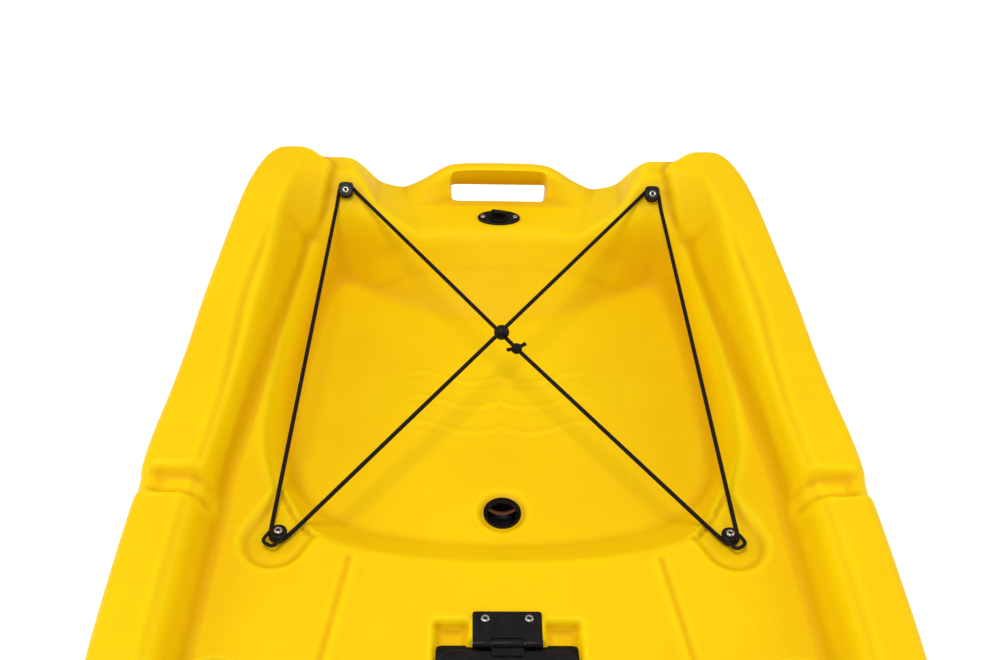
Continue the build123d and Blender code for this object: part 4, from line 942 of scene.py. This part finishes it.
def end_cap(name, row, outward, slot_half, deck_z, roof_rise):
    """Grid between the top curve and the bottom curve of one end. Returns the slot's ring."""
    top = skin[row]
    count = len(top)
    line_y, line_z = base[row, :, 1], base[row, :, 2]
    order = np.argsort(line_y)
    k = np.arange(count)
    inner = (k >= SIDE_COLUMNS) & (k < count - SIDE_COLUMNS)
    reach = np.abs(base[row, 0, 1])
    low_y_end = np.where(inner, top[:, 1] / np.abs(top[SIDE_COLUMNS, 1]) * 0.9 * reach, 0)
    tail = 0.9 + 0.1 * np.linspace(0, 1, SIDE_COLUMNS + 1)[1:]
    low_y_end[count - SIDE_COLUMNS:] = reach * tail
    low_y_end[:SIDE_COLUMNS] = -reach * tail[::-1]
    low_z_end = np.interp(low_y_end, line_y[order], line_z[order])
    tall = np.maximum(top[:, 2] - low_z_end, 1e-6)
    near = np.abs(top[:, 1]) <= slot_half
    edge = int(np.flatnonzero(near)[0])

    def share_of(height, least, most):
        """Share of the way up at a height, level with the slot's own end beside the slot."""
        return np.clip(np.where(near, (height - low_z_end) / tall,
                                (height - low_z_end[edge]) / tall[edge]), least, most)

    floor = share_of(deck_z + SLOT_FLOOR, 0.03, 0.9)
    roof = share_of(deck_z + roof_rise, 0.05, 0.97)
    share = np.array([np.zeros(count)] + [floor * t for t in (0.35, 0.7, 1)]
                     + [floor + (roof - floor) * t for t in (0.25, 0.5, 0.75, 1)]
                     + [roof + (1 - roof) * t for t in (0.33, 0.67, 1)])
    points = np.empty((len(share), count, 3))
    points[..., 0] = top[0, 0]
    points[..., 1] = low_y_end + share * (top[:, 1] - low_y_end)
    points[..., 2] = low_z_end + share * (top[:, 2] - low_z_end)
    inside = np.flatnonzero(near)
    block = (FLOOR_ROW, ROOF_ROW, int(inside[0]), int(inside[-1]))
    faces = faces_without(len(share), count, [block])
    faces = faces if outward < 0 else faces[:, ::-1]
    hull_pieces.append(add_piece(name, *used_only(points, faces)))
    i, j = ring_of(block)
    return points[i, j]


def resample(ring, start, count):
    """Closed ring read off at even steps, from the point nearest to a start."""
    ring = np.roll(ring, -int(np.linalg.norm(ring - start, axis=1).argmin()), axis=0)
    closed = np.r_[ring, ring[:1]]
    length = np.r_[0, np.cumsum(np.linalg.norm(np.diff(closed, axis=0), axis=1))]
    places = np.linspace(0, length[-1], count, endpoint=False)
    return np.c_[tuple(np.interp(places, length, closed[:, axis]) for axis in range(3))]


def signed_area(p, q):
    """Twice the area inside a closed outline, negative if it runs the other way round."""
    return np.sum(p * np.roll(q, -1) - q * np.roll(p, -1))


def hand_tunnel(name, deck_ring, end_ring, outward):
    """Surface from the slot in the deck to the slot in the end face: each point follows a
    curve that starts straight down and ends straight out. The deck slot's inner edge leads to
    the bottom of the end slot, so both outlines must run the same way round."""
    top_start = np.array([deck_ring[:, 0].mean(), deck_ring[:, 1].max(), deck_ring[:, 2].mean()])
    end_start = np.array([end_ring[0, 0], end_ring[:, 1].max(), end_ring[:, 2].mean()])
    a = resample(deck_ring, top_start, TUNNEL_WAYS)
    c = resample(end_ring, end_start, TUNNEL_WAYS)
    if signed_area(a[:, 0], a[:, 1]) * signed_area(outward * c[:, 2], c[:, 1]) < 0:
        c = np.r_[c[:1], c[:0:-1]]
    t = np.linspace(0, 1, TUNNEL_STEPS)[:, None, None]
    b = np.stack([a[:, 0], (a[:, 1] + c[:, 1]) / 2, c[:, 2]], axis=-1)
    points = (1 - t) ** 2 * a + 2 * (1 - t) * t * b + t ** 2 * c
    faces = grid_faces(TUNNEL_STEPS, TUNNEL_WAYS, around=True)
    hull_pieces.append(add_piece(name, points, faces))


for name, row, outward, half, index, level, rise in (
        ("stern", 0, -1, 63, 0, DECK, 13), ("bow", len(rows_s) - 1, 1, 40, 1, DECK + 70, 8)):
    ring = end_cap("hull_end_" + name, row, outward, half, level, rise)
    i, j = ring_of(skin_blocks[index])
    hand_tunnel("hand_slot_" + name, skin[i, j], ring, outward)


# %% [markdown]
# A scupper is a tube from a pocket's floor down through the hull, so that water drains. Its
# mouth is dished, with a narrow seat for the plug's flange.

# %% Scupper tubes
def scupper_tube(name, deck_ring, spot):
    """Rings from the opening in the deck: round-over, seat, and the bore down to the bottom."""
    s, y, z = spot
    x = s - LENGTH / 2
    angle = np.arctan2(deck_ring[:, 1] - y, deck_ring[:, 0] - x)
    keel = float(fair_line(KEEL, s))
    rim = deck_ring[:, 2].mean()
    profile = [(21.7, rim - 0.4), (21.4, rim - 0.9), (21.4, z - 4), (21, z - 4.1), (17.3, z - 4.2),
               (17, z - 4.5), (17, (z + keel) / 2), (17, keel + 0.3), (17, keel)]
    rings = [deck_ring] + [np.c_[x + r * np.cos(angle), y + r * np.sin(angle),
                                 np.full(len(angle), h)] for r, h in profile]
    faces = grid_faces(len(rings), len(angle), around=True)
    hull_pieces.append(add_piece(name, np.array(rings), faces))


for number, spot in enumerate(scupper_spots):
    i, j = ring_of(skin_blocks[4 + number])
    scupper_tube("scupper_tube_%d" % (number + 1), skin[i, j], spot)

for piece in hull_pieces:
    piece.data.materials.append(yellow_skin)
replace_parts(hull_pieces[0], "hull_shell")

# %% [markdown]
# ## Screws, hooks and plugs with their own detail
#
# Turned heads are a profile carried round an axis. A hook is a post under a plate: a disc round
# its screw, and a flat loop that sticks out from it for a clip. A scupper plug is a soft cup
# with a strap across it to pull it by; the strap's brown is a painted reflection of the yellow
# skin.

# %% Round pieces and loops
def axes_of(normal, toward=(1, 0, 0)):
    """Three directions square to each other: the normal, the one nearest to toward, a third."""
    n = np.array(normal, float) / np.linalg.norm(normal)
    t = np.array(toward, float) - np.dot(toward, n) * n
    t /= np.linalg.norm(t)
    return t, np.cross(n, t), n


def turned(place, axes, profile, ways=40, lobes=0.0, lobe_from=99):
    """Profile of (radius, height) carried round an axis: points at the place plus radius times
    a turning direction plus height along the normal. Radii from row lobe_from on swell six
    times a turn, which cuts a six-lobed socket. Returns points and faces with closed poles."""
    t, b, n = axes
    angle = np.linspace(0, 2 * np.pi, ways, endpoint=False)
    radius, height = np.array(profile, float).T
    wave = np.where(np.arange(len(radius)) >= lobe_from, lobes, 0)[:, None] * np.cos(6 * angle)
    reach = radius[:, None] * (1 + wave)
    points = (np.array(place) + (reach * np.cos(angle))[..., None] * t
              + (reach * np.sin(angle))[..., None] * b + height[:, None, None] * n)
    points, faces = closed_tube(points)
    return points, [face[::-1] for face in faces]


def joined_pieces(name, parts, body, material):
    """One object of several sets of points and faces."""
    points, faces, count = [], [], 0
    for part_points, part_faces in parts:
        points.append(np.asarray(part_points).reshape(-1, 3))
        faces += [[index + count for index in face] for face in part_faces]
        count += len(points[-1])
    piece = add_piece(name, np.concatenate(points), faces, body)
    piece.data.materials.append(material)
    return piece


def pan_head(place, normal, radius, height):
    """Screw head: a low dome with a six-lobed socket."""
    dome = [(0.98, 0), (1, 0.3), (0.93, 0.68), (0.78, 0.9), (0.6, 1), (0.46, 1.0), (0.44, 0.94),
            (0.42, 0.42), (0.2, 0.36)]
    profile = [(r * radius, h * height) for r, h in dome]
    return turned(place, axes_of(normal), profile, lobes=0.13, lobe_from=6)


def flat_loop(place, axes, half_wide, reach, thick, band):
    """Loop of a rectangular band with rounded edges, in the plane of a plate: it runs out on
    one side, across in three sides, and back on the other."""
    t, b, n = axes
    path = cut_corners([(0, -half_wide), (0.8 * reach, -half_wide), (reach, -0.6 * half_wide),
                        (reach, 0.6 * half_wide), (0.8 * reach, half_wide), (0, half_wide)], 2)
    ahead = np.roll(path, -1, axis=0) - np.roll(path, 1, axis=0)
    ahead /= np.linalg.norm(ahead, axis=1)[:, None]
    side = np.c_[ahead[:, 1], -ahead[:, 0]]
    ring = np.linspace(0, 2 * np.pi, 12, endpoint=False) + np.pi / 12
    wide = np.sign(np.cos(ring)) * np.abs(np.cos(ring)) ** 0.5 * band / 2
    tall = np.sign(np.sin(ring)) * np.abs(np.sin(ring)) ** 0.5 * thick / 2
    flat = path[:, None, :] + wide[None, :, None] * side[:, None, :]
    points = (np.array(place) + flat[..., :1] * t + flat[..., 1:] * b
              + tall[None, :, None] * n)
    rows, columns = points.shape[:2]
    j, last = np.arange(columns), (rows - 1) * columns
    k = (j + 1) % columns
    join = np.stack([last + j, last + k, k, j], axis=1)
    return points, np.r_[grid_faces(rows, columns, around=True), join].tolist()


print("faces of one screw head", len(pan_head((0, 0, 0), (0, 0, 1), 4, 2)[1]))


# %% Lashing hooks and screws
SCREW_RADIUS = 4.6
HOOKS = {"front": ((-775.0, 233.3, 209.0), (0, 0, 1), (0.84, 0.54, 0)),
         "rear": ((-1282.0, 194.2, 254.5), (0.559, 0, 0.829), (-0.829, 0, 0.559))}
SIDES = {"port": 1, "starboard": -1}
hook_heads = []
for end, (place, normal, tongue) in HOOKS.items():
    for side_name, side in SIDES.items():
        spot = np.array(place) * (1, side, 1)
        axes = axes_of(normal, (tongue[0], side * tongue[1], tongue[2]))
        post = turned(spot, axes, [(8.2, -0.3), (8.4, 0.4), (8.1, 1.6), (7.4, 2.0), (6.2, 2.3),
                                   (6.1, 6.6), (8.4, 7.0), (9.0, 7.8), (9.0, 9.0), (8.5, 9.8),
                                   (7.4, 10.0), (5.4, 9.8)])
        reach = 17.5 if end == "front" else 8.0
        loop = flat_loop(spot + 8.4 * axes[2] + axes[0], axes, 7.6, reach, 2.8, 3.8)
        hook = joined_pieces("hook_%s_%s" % (end, side_name), [post, loop], "hull", black_nylon)
        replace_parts(hook, "lashing_hook_%s_%s" % (end, side_name))
        hook_heads.append(pan_head(spot + 9.9 * axes[2], axes[2], SCREW_RADIUS, 2.6))
hook_screws = joined_pieces("hook_screw_heads", hook_heads, "hull", steel)
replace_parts(hook_screws, "lashing_hook_screws")


def box_mm(name):
    """A node's lowest and highest corners, in mm."""
    return [np.array(corner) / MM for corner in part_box(name)]


def end_heads(name, node, radius, height, inset, sunk):
    """Two heads near the ends of a fitting that lies across the hull."""
    low, top = box_mm(node)
    middle = (low[0] + top[0]) / 2
    heads = [pan_head((middle, y, top[2] - sunk), (0, 0, 1), radius, height)
             for y in (low[1] + inset, top[1] - inset)]
    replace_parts(joined_pieces(name, heads, "hull", steel), node)
    return heads


DRAIN_SCREW_RADIUS = 3.2
hinge_heads = end_heads("hinge_screw_heads", "hinge_screws", SCREW_RADIUS, 2.7, 4.9, 2.8)
drain_heads = end_heads("drain_screw_heads", "drain_screws", DRAIN_SCREW_RADIUS, 1.8, 3.2, 1.8)

# a dark disc at the bottom of each socket is painted shade, standing for the shade deep in it
socket_shade = []
for heads, radius in ((hook_heads + hinge_heads, SCREW_RADIUS),
                      (drain_heads, DRAIN_SCREW_RADIUS)):
    for points, _ in heads:
        bottom, top = points[-2], points[-1]
        axes = axes_of(top - bottom, (0.3, 1, 0.2))
        socket_shade.append(turned(top, axes, [(0.43 * radius, -0.25), (0.43 * radius, 0.22),
                                        (0.2 * radius, 0.2)], ways=20))
joined_pieces("painted_socket_shade", socket_shade, "hull", seal_rubber)


# %% Scupper plugs
def pull_strap(place, span=15.5, wide=6.0):
    """Strip that hangs across the cup in an arc, thicker at its middle."""
    across = np.linspace(-1, 1, 25)
    ring = np.linspace(0, 2 * np.pi, 10, endpoint=False)
    half = wide / 2 * (1 - 0.25 * across ** 2)
    x = -8 + 4.0 * (1 - across ** 2)
    z = -4 - 3.0 * (1 - across ** 2)
    points = np.stack([x[:, None] + half[:, None] * np.cos(ring),
                       np.repeat(span * across[:, None], 10, axis=1),
                       z[:, None] + 1.3 * np.sin(ring)], axis=-1) + np.array(place)
    return closed_tube(points)


CUP_LINES = [(16.2, -26), (16.8, -25), (16.9, -3.4), (17.2, -3.0), (20.6, -2.8), (21, -1.8),
             (20.9, -0.4), (20.6, 0), (20.1, 0), (19.7, -0.5), (19.3, -2.0), (16.2, -3.6),
             (15.6, -7), (14.9, -20), (14.2, -22), (4, -22.5)]
for name in [name for name in nodes if name.startswith("scupper_plug_")]:
    low, top = box_mm(name)
    top = np.array([(low[0] + top[0]) / 2, (low[1] + top[1]) / 2, top[2]])
    cup = turned(top, axes_of((0, 0, 1)), CUP_LINES, ways=64)
    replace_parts(joined_pieces(name + "_cup", [cup], name, black_rubber), name)
    # strap in brown, a painted reflection of the yellow skin
    joined_pieces(name + "_strap", [pull_strap(top + (0, 0, -1))], name, strap_painted_reflection)

# %% [markdown]
# The hatch's rim is a black frame. Its flange fills the recess round the lid, up to the wall.

# %% Hatch rim flange
def frame_rings(middle, rings):
    """Rounded rectangles of (half long, half wide, corner, height), joined in turn and closed."""
    turn = np.linspace(0, 2 * np.pi, 200, endpoint=False)
    rows = []
    for long, wide, corner, height in rings:
        reach = np.minimum(long / np.maximum(np.abs(np.cos(turn)), 1e-6),
                           wide / np.maximum(np.abs(np.sin(turn)), 1e-6))
        s, y = ring_outline(reach * np.cos(turn), reach * np.sin(turn), (0, 0), (long, wide),
                            corner)
        rows.append(np.stack([middle + s, y, np.full(len(turn), height)], axis=-1))
    return np.array(rows + rows[:1]), grid_faces(len(rows) + 1, len(turn), around=True)


rim_middle = (690 + 892.5) / 2 - LENGTH / 2
joined_pieces("hatch_rim_flange", [frame_rings(rim_middle, [
    (101, 72.6, 9, 200.4), (101, 72.6, 9, 203.4), (100.2, 71.8, 8.5, 204.1), (80, 60, 8, 204.1),
    (80, 60, 8, 200.4)])], "hull", black_nylon)

# %% [markdown]
# ## Fittings that keep their measured shape
#
# A moulded part never has a knife edge. Two modifiers merge the loose triangles and round the
# sharp edges, so that light catches them, and each node gets the material of its real piece.

# %% Fittings
def round_edges(node, width_mm):
    """Merges a node's points and rounds its edges sharper than 35 degrees."""
    weld = node.modifiers.new("weld", "WELD")
    weld.merge_threshold = 0.00001
    bevel = node.modifiers.new("rounding", "BEVEL")
    bevel.width = width_mm * MM
    bevel.segments = 2
    bevel.limit_method = "ANGLE"
    bevel.angle_limit = np.radians(35)
    bevel.harden_normals = False


def finish_of(name):
    """Material of a node and the rounding of its edges in mm, from what the piece is."""
    if name.startswith("foam"):
        return white_foam, 0
    if "insert" in name:
        return brass, 0
    if "screws" in name or name == "hinge_pin":
        return steel, 0.25
    if name.startswith("side_bail"):
        return rod_steel, 0
    if name.startswith(("side_grip", "scupper_plug")):
        return black_rubber, 0.3
    if name in ("drain_gasket", "hatch_gasket"):
        return seal_rubber, 0.2
    if name == "bungee_knot":
        return cord_black, 0
    return black_nylon, 0.5


for name, node in nodes.items():
    if name in ("hull_shell", "bungee_cord") or node.hide_render:
        continue
    material, width = finish_of(name)
    for slot in node.material_slots:
        slot.material = material
    if width:
        round_edges(node, width)
print("materials", len(bpy.data.materials))

tuple(np.array(CORD_POINTS[0]) * MM)

# %% [markdown]
# ## Floor and light
#
# The boat stands on a plain pale floor under a large soft lamp, with a weaker lamp on each side
# and pale light all round.

# %% Floor and light
def studio_floor():
    """Square of matt pale paper under the hull."""
    half, drop = 9000, 1.0
    corners = np.array([(-half, -half, -drop), (half, -half, -drop), (half, half, -drop),
                        (-half, half, -drop)]) * MM
    mesh = bpy.data.meshes.new("studio_floor")
    mesh.from_pydata(corners.tolist(), [], [(0, 1, 2, 3)])
    floor = bpy.data.objects.new("studio_floor", mesh)
    bpy.context.collection.objects.link(floor)
    material, _, _ = start_material("matt_paper", Base_Color=linear("#FDFDFD"), Roughness=0.9,
                                    Specular_IOR_Level=0.2, Emission_Color=(1, 1, 1, 1),
                                    Emission_Strength=0.3)
    mesh.materials.append(material)
    floor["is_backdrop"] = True


def area_lamp(name, place, size, watts):
    """Square soft lamp at a place in metres, aimed at the stern well."""
    data = bpy.data.lights.new(name, "AREA")
    data.shape = "SQUARE"
    data.size = size
    data.energy = watts
    lamp = bpy.data.objects.new(name, data)
    bpy.context.collection.objects.link(lamp)
    lamp.location = place
    aim = Vector((-0.9, 0.0, 0.2)) - Vector(place)
    lamp.rotation_euler = aim.to_track_quat("-Z", "Y").to_euler()


studio_floor()
area_lamp("key_lamp", (-0.4, -0.4, 3.3), 0.9, 42)
area_lamp("port_lamp", (-1.0, 2.3, 1.7), 1.0, 15)
area_lamp("starboard_lamp", (-0.8, -2.3, 1.7), 1.0, 15)
world = bpy.data.worlds.new("studio_world")
bpy.context.scene.world = world
world.use_nodes = True
backdrop = world.node_tree.nodes["Background"]
backdrop.inputs["Color"].default_value = (1, 1, 1, 1)
backdrop.inputs["Strength"].default_value = 0.55
print("lamps", [light.name for light in bpy.data.lights])

# %% The sizes of the scene
low, high_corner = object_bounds()
{"cad": [list(cad_low), list(cad_high)], "visual": [list(low), list(high_corner)]}
print("visual box", [round(v, 3) for v in (*low, *high_corner)])
